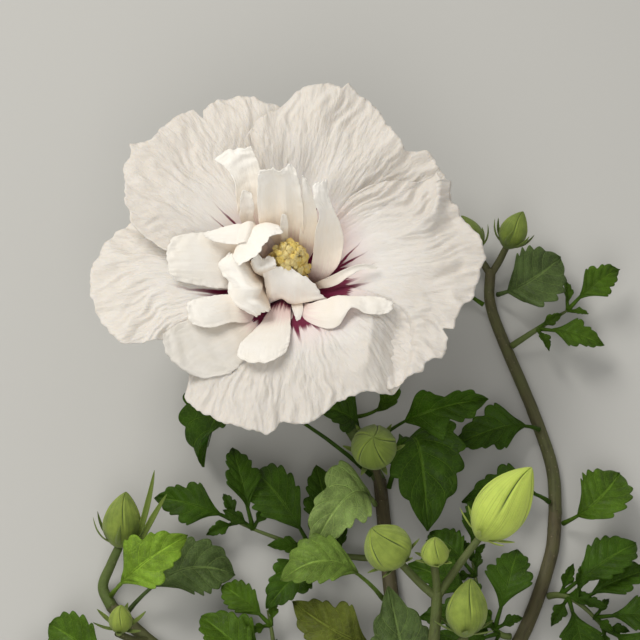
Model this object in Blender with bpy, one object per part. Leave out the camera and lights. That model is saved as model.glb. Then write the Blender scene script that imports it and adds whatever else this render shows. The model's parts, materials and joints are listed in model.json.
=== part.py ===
"""A cut flowering sprig of rose of sharon, lying on a surface with its one open double bloom facing up.

The stem runs along +Y from its flat cut end to the bloom. A left, a right and a front shoot leave it, with
leaves on thin stalks, short leafy twigs and green flower buds in their bracts. All sizes below are in
millimetres, in a plan frame whose origin is on the surface, straight below the middle of the bloom. The
whole sprig is then moved so that the middle of its own footprint is at the origin.
"""

import math
import random

import bmesh
import bpy
from mathutils import Matrix, Vector
from mathutils.bvhtree import BVHTree

MM = 0.001
UP = Vector((0, 0, 1))
GOLDEN_ANGLE = math.radians(137.5)

# Bloom
BLOOM_BASE = Vector((0, 0, 24.0))  # where its petals meet
FUNNEL_DEPTH = 25.0  # from there up to the rim
FUNNEL_FLARE = 12.0  # the smaller, the faster the funnel opens flat
PETAL_THICKNESS = 0.7
PETAL_START = 2.0  # distance from the axis where a petal leaves the core
PETAL_REACH_POWER = 1.4  # spreads a petal's rows towards its rim
PETAL_FOOT_SPREAD = 0.8  # share of its angle that a petal covers at its foot
PETAL_LAP = 2.4  # half the height step between two petals that overlap, at the rim
PETALOID_THICKNESS = 0.6
COLUMN_TOP = 27.0
ANTHER_COUNT = 13
ANTHER_RADIUS = 1.5
ANTHER_SPREAD = 3.7  # of their centres round the column

# Calyx under the bloom
CALYX_FLOOR = 9.7
CALYX_WALL = 0.8
SEPAL_TIP_RISE = 7.0
CALYX_BRACTS = 7

# Leaves and buds
BLADE_THICKNESS = 0.6
STALK_THICKNESS = 1.2
BRACT_WIDTH = 1.5
BUD_BRACTS = 6
BUD_RIB = 0.05  # how far a bud's five seams swell, as a share of its radius
LEAF_CLEARANCE = 0.7  # kept between a spray's leaf and anything else

ROUND_STEM = 2  # a curve's bevel resolution: 8 sides
SLIM_STALK = 1  # 6 sides
SLIM_TWIG = 0  # 4 sides


def make_material(name, colour, roughness):
    material = bpy.data.materials.new(name)
    material.use_nodes = True
    shader = material.node_tree.nodes["Principled BSDF"]
    shader.inputs["Base Color"].default_value = (*colour, 1)
    shader.inputs["Roughness"].default_value = roughness
    shader.inputs["Metallic"].default_value = 0
    return material


def mix(a, b, share):
    return a + (b - a) * share


def along(stops, t):
    """The value at t between (position, value) stops, joined by straight lines."""
    for (t0, v0), (t1, v1) in zip(stops, stops[1:]):
        if t <= t1:
            return mix(v0, v1, (t - t0) / (t1 - t0))
    return stops[-1][1]


def smooth_line(points, steps):
    """Points of a smooth curve through the given ones, a number of steps for each stretch."""
    given = [Vector(p) for p in points]
    ends = [2 * given[0] - given[1], *given, 2 * given[-1] - given[-2]]
    line = []
    for before, start, end, after in zip(ends, ends[1:], ends[2:], ends[3:]):
        for step in range(steps):
            t = step / steps
            line.append(
                start * (2 * t**3 - 3 * t**2 + 1)
                + (end - before) / 2 * (t**3 - 2 * t**2 + t)
                + end * (3 * t**2 - 2 * t**3)
                + (after - start) / 2 * (t**3 - t**2)
            )
    return [*line, given[-1]]


def midrib(foot, middle, tip):
    """A curve through three points, which gives its place, heading and level side at any share of its way."""
    foot, middle, tip = Vector(foot), Vector(middle), Vector(tip)
    pull = 2 * middle - (foot + tip) / 2
    level = (tip - foot).cross(UP).normalized()

    def at(share):
        point = foot * (1 - share) ** 2 + pull * 2 * share * (1 - share) + tip * share**2
        heading = ((pull - foot) * (1 - share) + (tip - pull) * share).normalized()
        side = (level - heading * heading.dot(level)).normalized()
        return point, heading, side

    return at


def new_object(name, mesh, material=None):
    obj = bpy.data.objects.new(name, mesh)
    bpy.context.scene.collection.objects.link(obj)
    if material:
        mesh.materials.clear()
        mesh.materials.append(material)
    return obj


def mesh_from(form, name):
    mesh = bpy.data.meshes.new(name)
    form.to_mesh(mesh)
    form.free()
    return mesh


def baked(obj):
    """Turns an object, a curve or a mesh with modifiers, into a plain welded mesh object of its name."""
    bpy.context.view_layer.update()
    graph = bpy.context.evaluated_depsgraph_get()
    mesh = bpy.data.meshes.new_from_object(obj.evaluated_get(graph))
    form = bmesh.new()
    form.from_mesh(mesh)
    bmesh.ops.remove_doubles(form, verts=form.verts, dist=1e-6)
    bmesh.ops.recalc_face_normals(form, faces=form.faces)
    form.to_mesh(mesh)
    form.free()
    name, material = obj.name, obj.active_material
    bpy.data.objects.remove(obj)
    return new_object(name, mesh, material)


def tube(name, line, radii, material, sides=ROUND_STEM):
    """A round tapering stem along a line of points, with flat ends. radii are stops along it."""
    curve = bpy.data.curves.new(name, "CURVE")
    curve.dimensions = "3D"
    curve.bevel_depth = MM
    curve.bevel_resolution = sides
    curve.use_fill_caps = True
    spline = curve.splines.new("POLY")
    spline.points.add(len(line) - 1)
    for index, (point, place) in enumerate(zip(spline.points, line)):
        point.co = (*(Vector(place) * MM), 1)
        point.radius = along(radii, index / (len(line) - 1))
    return baked(new_object(name, curve, material))


def sheet(name, rows, columns, place, thickness, material, stalk_rows=0):
    """A thin closed blade. place(a, t) gives its middle surface, a from -1 to 1 across, t from 0 to 1 along."""
    form = bmesh.new()
    bmesh.ops.create_grid(form, x_segments=columns, y_segments=rows, size=1)
    stalk = []
    for vertex in form.verts:
        across, t = vertex.co.x, (vertex.co.y + 1) / 2
        if round(t * rows) < stalk_rows:
            stalk.append(vertex.index)
        vertex.co = place(across, t) * MM
    obj = new_object(name, mesh_from(form, name), material)
    solid = obj.modifiers.new("thickness", "SOLIDIFY")
    solid.thickness = thickness * MM
    solid.offset = 0
    if stalk_rows:
        group = obj.vertex_groups.new(name="stalk")
        group.add(stalk, 1, "REPLACE")
        solid.thickness = STALK_THICKNESS * MM
        solid.vertex_group = group.name
        solid.thickness_vertex_group = thickness / STALK_THICKNESS
    return baked(obj)


def shells_of(form):
    """The separate closed shells of a mesh, each as a set of faces."""
    left, found = set(form.faces), []
    while left:
        shell, waiting = set(), [left.pop()]
        while waiting:
            face = waiting.pop()
            shell.add(face)
            near = {other for edge in face.edges for other in edge.link_faces} & left
            left -= near
            waiting.extend(near)
        found.append(shell)
    return found


def fuse(name, pieces):
    """Joins overlapping closed pieces into one solid, filling sealed hollows and dropping loose scraps."""
    first, *others = pieces
    group = bpy.data.collections.new(name + "_pieces")
    bpy.context.scene.collection.children.link(group)
    for piece in others:
        bpy.context.scene.collection.objects.unlink(piece)
        group.objects.link(piece)
    join = first.modifiers.new("join", "BOOLEAN")
    join.operation = "UNION"
    join.operand_type = "COLLECTION"
    join.collection = group
    join.solver = "MANIFOLD"
    material = first.active_material
    fused = baked(first)
    for piece in others:
        bpy.data.objects.remove(piece)
    bpy.data.collections.remove(group)
    form = bmesh.new()
    form.from_mesh(fused.data)
    scraps = [face for shell in sorted(shells_of(form), key=len)[:-1] for face in shell]
    bmesh.ops.delete(form, geom=scraps, context="FACES")
    bmesh.ops.triangulate(form, faces=form.faces)
    form.to_mesh(fused.data)
    form.free()
    fused.name = name
    fused.data.materials.clear()
    fused.data.materials.append(material)
    return fused


# Each outer petal: how far its rim rises or droops, and its margin as distances from the bloom's axis at
# angles that run against the clock from +X. Each petal's far side laps over the near side of the next.
OUTER_PETALS = {
    "right": (0.5, [(-58, 40), (-53, 50), (-39, 49), (-31, 51), (-26, 48.5), (-19, 50), (-9, 52.5), (2, 54),
                    (11, 51.5), (19, 49), (31, 46.5), (34, 41), (48, 27)]),
    "top": (1.5, [(16, 45), (28, 50.5), (38, 52.5), (44, 51.5), (48, 47), (55, 49), (64, 52.5), (74, 54),
                  (81, 54), (87, 51.5), (94, 47), (107, 41), (116, 30)]),
    "upper_left": (0.5, [(84, 36), (95, 46), (105, 52), (118, 50.5), (122, 54.5), (140, 56.5), (147, 55),
                         (160, 48.5), (167, 45), (178, 33)]),
    "left": (-3.0, [(160, 36), (168, 48.5), (172, 52), (185, 55), (200, 54.5), (206, 53.5), (210, 49.5),
                    (213, 42), (220, 30)]),
    "bottom": (-4.5, [(222, 32), (230, 44), (233, 48), (242, 50), (253, 50), (264, 51), (276, 49), (287, 46),
                      (296, 44), (302, 46), (309, 48), (315, 40), (320, 33)]),
}
PETAL_ROWS = 5
PETAL_COLUMNS = 10


def funnel_height(radius):
    """Height of the open funnel over the place where the petals meet."""
    return FUNNEL_DEPTH * (1 - math.exp(-radius / FUNNEL_FLARE))


def outer_petal(lift, margin):
    first, last = margin[0][0], margin[-1][0]
    centre = (first + last) / 2

    def place(a, t):
        angle = mix(first, last, (a + 1) / 2)
        radius = mix(PETAL_START, along(margin, angle), t**PETAL_REACH_POWER)
        spread = mix(PETAL_FOOT_SPREAD, 1, min(1, 2 * t))
        turn = math.radians(centre + (angle - centre) * spread)
        height = funnel_height(radius) + lift * t**3 + PETAL_LAP * a * t
        return BLOOM_BASE + Vector((radius * math.cos(turn), radius * math.sin(turn), height))

    return place


# Each petaloid, a stamen grown out into a small petal. Its midrib's foot, middle and tip, from the place
# where the petals meet, then its width, its roll in degrees at the foot and at the tip, and its cup.
PETALOIDS = {
    "left_broad": ((-3, 0.5, 7), (-17, 0, 22.5), (-34.5, -1, 27), 17, 0, 0, 0.10),
    "left_narrow": ((-3, 1.5, 11), (-14, 6, 31), (-24, 5, 29.5), 7, -10, -10, 0.30),
    "hood": ((-2, 2.5, 9), (-7, 5, 32), (-15, -2, 26), 9, -15, -20, 0.50),
    "cup": ((-2, -2, 7), (-11, -5.5, 20), (-18, -9.5, 23.5), 22, 0, 0, 0.50),
    "front": ((-4, -0.5, 9), (-1, -6, 19), (13, -5.5, 14), 13, 60, 55, 0.10),
    "front_small": ((-3, -1, 12), (-6, -1.5, 21), (-10, -1, 25), 5, 0, 0, 0.40),
    "back_tall": ((-0.5, 2.5, 8), (-2.8, 13, 31), (-3.4, 20, 44), 14, 0, 0, 0.30),
    "back_lobe": ((-2.5, 2.5, 8), (-9, 11, 26), (-12.5, 17.5, 32), 9, 0, 0, 0.25),
    "back_left": ((-2, 2.5, 8), (-11, 18, 29), (-16.5, 30, 35), 15, 0, 0, 0.15),
    "right_tall": ((3, 0.5, 7), (11, 6.5, 25), (9.5, 15, 44), 11, -20, -20, 0.60),
    "back_right": ((2, 2.2, 9), (5.5, 11.5, 33), (3.8, 16, 45.5), 4.5, 0, 0, 0.50),
    "back_small": ((0, 1.8, 13), (-1, 6.5, 28), (-1.7, 8.5, 35.5), 4.5, 0, 0, 0.30),
    "right_ribbon": ((3, -1, 7), (13.5, -4.2, 22), (24.5, -2.5, 26), 6, 35, -35, 0.15),
    "right_low": ((2.5, -2, 7), (15, -12, 22), (29, -13, 26.5), 14, 0, 0, 0.15),
    "low": ((-0.5, -3, 7), (-3.5, -17, 22.5), (-7, -30.5, 24.5), 15, 0, 0, 0.12),
    "left_low": ((-3, -2, 7), (-16, -11, 23.5), (-30, -16.5, 27.5), 11, 0, 0, 0.30),
    "left_under": ((-2, -2, 7), (-15.5, -15.5, 24), (-28, -33, 25.5), 27, 0, 0, 0.08),
}
PETALOID_OUTLINE = [(0, 0.14), (0.2, 0.34), (0.45, 0.75), (0.7, 1.0), (0.88, 0.88), (1, 0.48)]
FRONT_OUTLINE = [(0, 0.4), (0.2, 0.95), (0.5, 1), (0.8, 0.6), (1, 0.12)]  # of the one across the stamens
PETALOID_ROWS = 5
BROAD_PETALOID = 8  # width from which one has four columns of faces and not two


def petaloid(name, foot, middle, tip, width, roll, tip_roll, cup):
    rib = midrib(foot, middle, tip)
    outline = FRONT_OUTLINE if name == "front" else PETALOID_OUTLINE

    def place(a, t):
        point, heading, side = rib(t)
        side.rotate(Matrix.Rotation(math.radians(mix(roll, tip_roll, t)), 3, heading))
        inward = side.cross(heading)
        half = width / 2 * along(outline, t)
        shorter = 0.3 * half * a**2 * t**3
        return BLOOM_BASE + point + side * half * a + inward * cup * half * a**2 - heading * shorter

    return place


def make_bloom(material):
    """The five wide petals, the petaloids and the stamen column, fused at their foot to a core."""
    core = [(0, 0, z) for z in (-12.8, -6, 0, 4, 7.5, 10)]
    core_radii = [(0, 2.5), (0.2, 3.0), (0.4, 3.8), (0.6, 4.8), (0.8, 4.9), (1, 3.0)]
    column = [(0, 0, z) for z in (3, 12, 20, COLUMN_TOP - 2, COLUMN_TOP)]
    pieces = [
        tube("core", [BLOOM_BASE + Vector(p) for p in core], core_radii, material),
        tube("column", [BLOOM_BASE + Vector(p) for p in column], [(0, 2.2), (0.7, 2.6), (1, 1.2)], material),
    ]
    for name, (lift, margin) in OUTER_PETALS.items():
        place = outer_petal(lift, margin)
        pieces.append(sheet(name, PETAL_ROWS, PETAL_COLUMNS, place, PETAL_THICKNESS, material))
    for name, sizes in PETALOIDS.items():
        columns = 4 if sizes[3] > BROAD_PETALOID else 2
        pieces.append(sheet(name, PETALOID_ROWS, columns, petaloid(name, *sizes), PETALOID_THICKNESS, material))
    for index in range(ANTHER_COUNT):
        share = (index + 0.5) / ANTHER_COUNT
        turn, height = index * GOLDEN_ANGLE, mix(COLUMN_TOP - 9, COLUMN_TOP + 1, share)
        out = ANTHER_SPREAD * math.sqrt(1 - share**2)
        centre = BLOOM_BASE + Vector((out * math.cos(turn), out * math.sin(turn), height))
        form = bmesh.new()
        bmesh.ops.create_icosphere(form, subdivisions=1, radius=ANTHER_RADIUS * MM)
        bmesh.ops.translate(form, verts=form.verts, vec=centre * MM)
        pieces.append(new_object(f"anther_{index}", mesh_from(form, "anther"), material))
    return fuse("bloom", pieces)


BRACT_OUTLINE = [(0, 0.8), (0.5, 1), (0.8, 0.7), (1, 0.2)]


def bract(start, out, rise, tip_rise, length):
    """A narrow green strap. It leaves start at one pitch and bends evenly to another, both in degrees."""
    first = out * math.cos(math.radians(rise)) + UP * math.sin(math.radians(rise))
    last = out * math.cos(math.radians(tip_rise)) + UP * math.sin(math.radians(tip_rise))
    half_way = start + (first * 0.375 + last * 0.125) * length
    rib = midrib(start, half_way, start + (first + last) / 2 * length)

    def place(a, t):
        point, heading, side = rib(t)
        return point + side * BRACT_WIDTH / 2 * a * along(BRACT_OUTLINE, t)

    return place


CALYX_WALL_LINE = [(3.2, 0.6), (4.4, 4.5), (5.1, 10.5), (5.9, 15.5), (8.3, 16.5)]  # radius and height
CALYX_SIDES = 20


def make_calyx(material):
    """The cup of five joined sepals that holds the bloom, with the ring of narrow bracts at its foot."""
    form = bmesh.new()
    rim = bmesh.ops.create_circle(form, segments=CALYX_SIDES, radius=CALYX_WALL_LINE[0][0], cap_ends=True)
    bmesh.ops.translate(form, verts=rim["verts"], vec=(0, 0, CALYX_WALL_LINE[0][1]))
    floor = list(form.faces)
    ring = list({edge for vertex in rim["verts"] for edge in vertex.link_edges})
    for (inner, _), (radius, height) in zip(CALYX_WALL_LINE, CALYX_WALL_LINE[1:]):
        grown = bmesh.ops.extrude_edge_only(form, edges=ring)["geom"]
        corners = [item for item in grown if isinstance(item, bmesh.types.BMVert)]
        ring = [item for item in grown if isinstance(item, bmesh.types.BMEdge) and item.is_boundary]
        for corner in corners:
            corner.co.xy *= radius / inner
            corner.co.z = height
    for edge in ring:
        for corner in edge.verts:
            lobe = abs(math.cos(2.5 * math.atan2(corner.co.y, corner.co.x)))
            corner.co.z = CALYX_WALL_LINE[-1][1] + SEPAL_TIP_RISE * lobe
    bmesh.ops.poke(form, faces=floor)
    bmesh.ops.recalc_face_normals(form, faces=form.faces)
    bmesh.ops.translate(form, verts=form.verts, vec=(0, 0, CALYX_FLOOR))
    bmesh.ops.scale(form, verts=form.verts, vec=(MM, MM, MM))
    cup = new_object("cup", mesh_from(form, "cup"), material)
    wall = cup.modifiers.new("wall", "SOLIDIFY")
    wall.thickness = CALYX_WALL * MM
    wall.offset = 0
    pieces = [baked(cup)]
    for index in range(CALYX_BRACTS):
        angle = math.tau * (index + 0.3) / CALYX_BRACTS
        out = Vector((math.cos(angle), math.sin(angle), 0))
        place = bract(out * 3.6 + UP * (CALYX_FLOOR + 2.4), out, 15, 70, 13)
        pieces.append(sheet("bract", 3, 1, place, BLADE_THICKNESS, material))
    return fuse("bloom_calyx", pieces)


# Each bud: its foot, the way its tip points, its length and width, the length of its bracts, and the pitch
# of the bracts' tips over the bud's own level.
BUDS = {
    "bud_centre": ((22.7, -46.9, 23.3), (0.25, -0.25, 0.93), 14.0, 13.4, 12, 40),
    "bud_left": ((-46.7, -69.4, 9.6), (0.10, 0.62, 0.40), 16.0, 10.5, 17, 75),
    "bud_left_low": ((-45.6, -93.2, 9.4), (0.05, 0.45, 0.60), 9.0, 6.5, 8, 45),
    "bud_right_a": ((53.75, 20.6, 8.1), (-0.30, 0.70, 0.30), 12.0, 8.0, 10, 80),
    "bud_right_b": ((61.9, 21.6, 9.6), (0.35, 0.62, 0.46), 12.0, 8.0, 10, 80),
    "bud_front_a": ((29.5, -83.2, 38.0), (-0.55, 0.45, 0.70), 14.0, 12.6, 8, 30),
    "bud_front_b": ((38.2, -84.6, 40.5), (0.00, 0.60, 0.70), 8.5, 7.4, 5, 30),
    "bud_front_c": ((49.7, -77.4, 40.5), (0.55, 0.62, 0.50), 24.0, 14.0, 9, 35),
    "bud_front_d": ((45.8, -100.9, 30.2), (0.12, 0.80, 0.52), 16.0, 10.8, 9, 35),
}


def make_bud(name, foot, heading, length, width, bract_length, bract_pitch, material):
    """A closed bud in its five sepals, fattest below its middle, with narrow bracts round its foot."""
    form = bmesh.new()
    bmesh.ops.create_uvsphere(form, u_segments=10, v_segments=7, radius=1)
    for vertex in form.verts:
        t = (vertex.co.z + 1) / 2
        angle = math.atan2(vertex.co.y, vertex.co.x)
        radius = width / 2 * math.sin(math.pi * min(1, t) ** 0.8) ** 0.75 if 0 < t < 1 else 0
        radius *= 1 + BUD_RIB * t * math.cos(5 * angle)
        vertex.co = Vector((radius * math.cos(angle), radius * math.sin(angle), length * t)) * MM
    pieces = [new_object(name, mesh_from(form, name), material)]
    for index in range(BUD_BRACTS):
        angle = math.tau * (index + 0.5) / BUD_BRACTS
        out = Vector((math.cos(angle), math.sin(angle), 0))
        place = bract(out * 0.8 + UP * 1.2, out, 8, bract_pitch, bract_length)
        pieces.append(sheet("bract", 3, 1, place, BLADE_THICKNESS, material))
    bud = fuse(name, pieces)
    turn = Vector(heading).to_track_quat("Z", "Y").to_matrix().to_4x4()
    bud.data.transform(Matrix.Translation(Vector(foot) * MM) @ turn)
    return bud


# Each stem: the points it runs through, and its radius at stops along it.
STEMS = {
    "main_stem": (
        [(33, -150, 2.8), (33, -146, 2.8), (33, -142, 2.8), (32, -125, 2.6), (30, -100, 2.4), (27.5, -75, 2.2),
         (25.2, -46.8, 1.9)],
        [(0, 2.8), (0.5, 2.4), (1, 1.9)],
    ),
    "bloom_stalk": (
        [(24.7, -45.8, 1.8), (18, -33, 1.8), (9, -17, 1.8), (2.4, -5, 2.6), (0.2, -0.9, 5.6), (0, 0, 9.35)],
        [(0, 1.8), (0.6, 1.6), (0.85, 1.8), (1, 2.5)],
    ),
    "left_shoot": (
        [(28.3, -130.3, 2.3), (12, -121, 2.2), (-12, -108.5, 2), (-34, -96.5, 1.9), (-49, -83.5, 1.9)],
        [(0, 2.2), (0.5, 2.0), (1, 1.7)],
    ),
    "left_shoot_tip": (
        [(-49.6, -82.7, 2.2), (-51.2, -78.5, 3.4), (-49.0, -73.2, 6.6), (-46.9, -69.8, 9.1)],
        [(0, 1.7), (0.5, 1.4), (1, 1.2)],
    ),
    "right_shoot": (
        [(36.3, -125.1, 2.4), (49, -112, 2.2), (63, -93, 2.1), (72, -70, 2.0), (74, -56.2, 2.0)],
        [(0, 2.2), (0.5, 2.0), (1, 1.9)],
    ),
    "right_shoot_tip": (
        [(74.1, -55.7, 2.0), (73.6, -43, 1.9), (68.6, -25, 1.8), (61, -4, 1.8), (57.6, 8, 2.2), (57.8, 17, 5.6)],
        [(0, 1.9), (0.5, 1.7), (1, 1.5)],
    ),
}

# Side stalks fused to a stem: the points each runs through, from inside the stem to a bud's foot.
SIDE_STALKS = {
    "main_stem": [[(25.9, -52.5, 3), (25.2, -51.2, 9), (23.8, -48.6, 16), (22.7, -46.9, 22.7)]],
    "left_shoot": [[(-38.2, -93, 2.2), (-41.6, -94.2, 5), (-45.6, -93.6, 8.6)]],
    "right_shoot_tip": [
        [(57.7, 15.4, 5.0), (55.7, 18.4, 6.4), (53.9, 20.2, 7.7)],
        [(57.8, 15.4, 5.0), (60.2, 18.8, 6.9), (61.6, 21.0, 8.9)],
    ],
}

FRONT_SHOOT = [(32.5, -128, 6.8), (35.6, -116, 17), (38.2, -101, 29), (39, -90, 35.6)]
FRONT_STALKS = [
    [(38.9, -91.5, 34.6), (35, -88.5, 36.2), (29.9, -83.5, 37.7)],
    [(38.8, -91.5, 34.6), (38.8, -88.4, 37.4), (38.2, -84.9, 40.1)],
    [(38.9, -91.5, 34.6), (44, -84.5, 37.4), (49.4, -77.8, 40.2)],
    [(38.2, -101.5, 28.6), (42.4, -103.6, 28.2), (45.7, -101.3, 29.8)],
]
SIDE_STALK_RADII = [(0, 1.1), (1, 0.9)]


def make_stem(name, points, radii, side_stalks, material):
    pieces = [tube(name, smooth_line(points, 3), radii, material)]
    for stalk in side_stalks:
        pieces.append(tube("stalk", smooth_line(stalk, 3), SIDE_STALK_RADII, material, SLIM_STALK))
    return fuse(name, pieces) if side_stalks else pieces[0]


# Each leaf: its stalk's foot, where its midrib is half way, its tip, the share of that line that is bare
# stalk, the blade's width, its roll about the midrib, and how far its halves fold up, both in degrees.
LEAVES = {
    "leaf_left_of_bloom": ((22.8, -46.1, 4.0), (-7, -29, 13), (-24, -45, 8), 0.55, 16, 30, 40),
    "leaf_below_bud": ((23.8, -54.6, 3.6), (17, -56, 15), (4, -71, 10), 0.10, 20, -14, 18),
    "leaf_large_right": ((27.6, -49.6, 3.5), (35, -40, 17), (41, -62, 10), 0.30, 20, -12, 16),
    "leaf_tilted_right": ((21.8, -38.3, 3.75), (35, -36.5, 25), (54.5, -31.5, 25), 0.40, 15, 35, 30),
    "leaf_behind_petal": ((19.4, -33.2, 4.4), (16.5, -31.5, 12), (6, -29, 17), 0.20, 14, 10, 15),
    "leaf_narrow": ((17.5, -28, 2.8), (27, -26, 10), (28, -14, 15), 0.30, 6, 20, 20),
    "leaf_right_a": ((70.2, -32.4, 4.3), (60, -33, 8), (45, -38, 5), 0.22, 15, 0, 14),
    "leaf_right_b": ((72.3, -54, 4.0), (62, -52, 9), (48, -54, 4), 0.22, 16, 10, 14),
    "leaf_right_outer": ((76, -60, 3.4), (84, -57, 12), (92, -46, 6), 0.22, 16, -10, 16),
    "leaf_left_bright": ((-48.8, -81.0, 3.9), (-40, -79, 19), (-27.5, -71.5, 17), 0.22, 17, 8, 14),
    "leaf_left_grey": ((-44.3, -85.8, 3.5), (-30, -76, 10), (-15, -75.5, 5), 0.25, 16, 12, 12),
    "leaf_low_olive": ((27.2, -97, 3.8), (14, -95, 14), (1, -84.5, 9), 0.20, 18, -16, 16),
    "leaf_mid_light": ((25.7, -82, 3.7), (12, -77, 21), (-2, -81, 17), 0.26, 15, 12, 14),
    "leaf_low_broad": ((31.9, -111, 5.2), (31, -104, 15), (26.6, -84, 21), 0.16, 24, 0, 14),
    "leaf_cluster_right": ((59.8, 9.8, 3.5), (68, 10, 12), (78, 20, 7), 0.16, 18, 10, 14),
    "leaf_cluster_left": ((55.6, 6.7, 3.3), (45, 17, 4), (40, 31, 2.5), 0.16, 12, -10, 12),
}

# Short leafy twigs: foot, middle and tip of the twig, how many leaves it has, the length of its longest
# leaf, and the seed of their scatter. A leaf that would come near another leaf or piece is left out.
SPRAYS = {
    "spray_middle": ((23.6, -70, 2.7), (6, -68, 5), (-16, -60, 6), 9, 30, 3),
    "spray_low_middle": ((-6.4, -109.4, 4.2), (-4, -100, 6), (-6, -86, 6), 8, 26, 5),
    "spray_left": ((-30.6, -101.2, 3.2), (-44, -104, 7), (-58, -103, 6), 7, 26, 7),
    "spray_low_right": ((60.2, -92.6, 3.6), (54, -88, 6), (50, -70, 6), 8, 26, 11),
    "spray_right": ((71.2, -81, 3.0), (78, -84, 8), (86, -92, 6), 6, 26, 13),
    "spray_low": ((28.8, -118, 3.8), (16, -116, 6), (2, -108, 5), 7, 26, 17),
    "spray_right_high": ((63.4, -6.2, 3.2), (72, -2, 8), (80, 4, 6), 5, 24, 19),
}
TWIG_RADII = [(0, 1.0), (1, 0.6)]

# Half the blade's width along it: a wedge at the foot, two side lobes, a notch, a pointed middle lobe.
LEAF_OUTLINE = [(0, 0.05), (0.17, 0.55), (0.34, 1.0), (0.50, 0.68), (0.67, 0.62), (0.83, 0.38), (1, 0.03)]
LEAF_ROWS = 8
LEAF_STALK_ROWS = 2
LEAF_COLUMNS = 4
SPRAY_LEAF_ROWS = 5
SPRAY_LEAF_COLUMNS = 2


def leaf(foot, middle, tip, stalk_share, width, roll, fold, rows, stalk_rows):
    """A leaf whose stalk and midrib are one curve through foot, middle and tip."""
    rib = midrib(foot, middle, tip)

    def place(a, t):
        row = t * rows
        on_blade = row > stalk_rows
        if on_blade:
            blade = (row - stalk_rows) / (rows - stalk_rows)
            share, half = mix(stalk_share, 1, blade), width / 2 * along(LEAF_OUTLINE, blade)
        else:
            share, half = stalk_share * row / stalk_rows, STALK_THICKNESS / 2
        point, heading, side = rib(share)
        side.rotate(Matrix.Rotation(math.radians(roll), 3, heading))
        face = side.cross(heading)
        tilt = math.radians(fold) if on_blade else 0
        forward = 0.25 * half * abs(a) * (1 - share) if on_blade else 0
        return point + (side * a * math.cos(tilt) + face * abs(a) * math.sin(tilt)) * half + heading * forward

    return place


def make_leaf(name, sizes, material):
    place = leaf(*sizes, LEAF_ROWS, LEAF_STALK_ROWS)
    return sheet(name, LEAF_ROWS, LEAF_COLUMNS, place, BLADE_THICKNESS, material, LEAF_STALK_ROWS)


def spray_leaves(foot, middle, tip, count, longest, seed):
    """The leaves of one twig, left and right in turn, the last one at its tip, as sizes like those above."""
    scatter = random.Random(seed)
    rib = midrib(foot, middle, tip)
    leaves = []
    for index in range(count):
        share = mix(0.22, 0.97, index / (count - 1))
        point, heading, side = rib(share)
        swing = math.radians(mix(68, 38, share) + scatter.uniform(-14, 14)) * (-1) ** index
        if index == count - 1:
            swing = math.radians(scatter.uniform(-10, 10))
        way = Vector((heading.x, heading.y, 0)).normalized()
        way.rotate(Matrix.Rotation(swing, 3, UP))
        length = longest * mix(1, 0.72, share) * scatter.uniform(0.85, 1.1)
        rise, droop = scatter.uniform(0.14, 0.34), scatter.uniform(-0.02, 0.22)
        half_way = point + way * length * 0.5 + UP * length * rise
        end = point + way * length + UP * length * droop
        roll, fold = scatter.uniform(-24, 24), scatter.uniform(10, 22)
        leaves.append((point, half_way, end, 0.2, length * scatter.uniform(0.5, 0.62), roll, fold))
    return leaves


def solid_tree(obj):
    corners = [vertex.co for vertex in obj.data.vertices]
    return BVHTree.FromPolygons(corners, [face.vertices for face in obj.data.polygons])


def make_spray(name, foot, middle, tip, count, longest, seed, others, material):
    """A twig with those of its leaves that keep clear of everything made before it."""
    rib = midrib(foot, middle, tip)
    pieces = [tube(name, [rib(step / 6)[0] for step in range(7)], TWIG_RADII, material, SLIM_TWIG)]
    trees = [solid_tree(other) for other in others]
    for sizes in spray_leaves(foot, middle, tip, count, longest, seed):
        place = leaf(*sizes, SPRAY_LEAF_ROWS, 1)
        roomy = sheet("room", SPRAY_LEAF_ROWS, SPRAY_LEAF_COLUMNS, place, 2 * LEAF_CLEARANCE, material)
        room = solid_tree(roomy)
        bpy.data.objects.remove(roomy)
        if not any(room.overlap(tree) for tree in trees):
            blade = (SPRAY_LEAF_ROWS, SPRAY_LEAF_COLUMNS, place, BLADE_THICKNESS, material, 1)
            pieces.append(sheet("leaf", *blade))
            trees.append(solid_tree(pieces[-1]))
    return fuse(name, pieces)


def centre_footprint(objects):
    """Hangs the sprig on one empty, placed so that the middle of its footprint is at the origin."""
    corners = [vertex.co for obj in objects for vertex in obj.data.vertices]
    low = Vector(min(c[axis] for c in corners) for axis in range(3))
    high = Vector(max(c[axis] for c in corners) for axis in range(3))
    sprig = bpy.data.objects.new("sprig", None)
    bpy.context.scene.collection.objects.link(sprig)
    sprig.location = (-(low.x + high.x) / 2, -(low.y + high.y) / 2, -low.z)
    for obj in objects:
        obj.parent = sprig


def build():
    for obj in list(bpy.data.objects):
        bpy.data.objects.remove(obj)
    petal = make_material("petal", (0.88, 0.84, 0.82), 0.55)
    sepal = make_material("sepal", (0.36, 0.50, 0.16), 0.55)
    green = make_material("leaf", (0.09, 0.20, 0.05), 0.5)
    bark = make_material("bark", (0.20, 0.15, 0.09), 0.75)
    made = [make_bloom(petal), make_calyx(sepal)]
    made += [make_bud(name, *sizes, sepal) for name, sizes in BUDS.items()]
    for name, (points, radii) in STEMS.items():
        made.append(make_stem(name, points, radii, SIDE_STALKS.get(name, []), bark))
    made.append(make_stem("front_shoot", FRONT_SHOOT, [(0, 1.7), (1, 1.4)], FRONT_STALKS, bark))
    made += [make_leaf(name, sizes, green) for name, sizes in LEAVES.items()]
    for name, sizes in SPRAYS.items():
        made.append(make_spray(name, *sizes, made, green))
    centre_footprint(made)


build()
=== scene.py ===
# A cut flowering sprig of rose of sharon, lying with its open double bloom facing up
import json
import math
import random
from bisect import bisect_right
from functools import cache

import bmesh
import bpy
from mathutils import Matrix, Vector, noise
from mathutils.bvhtree import BVHTree


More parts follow.
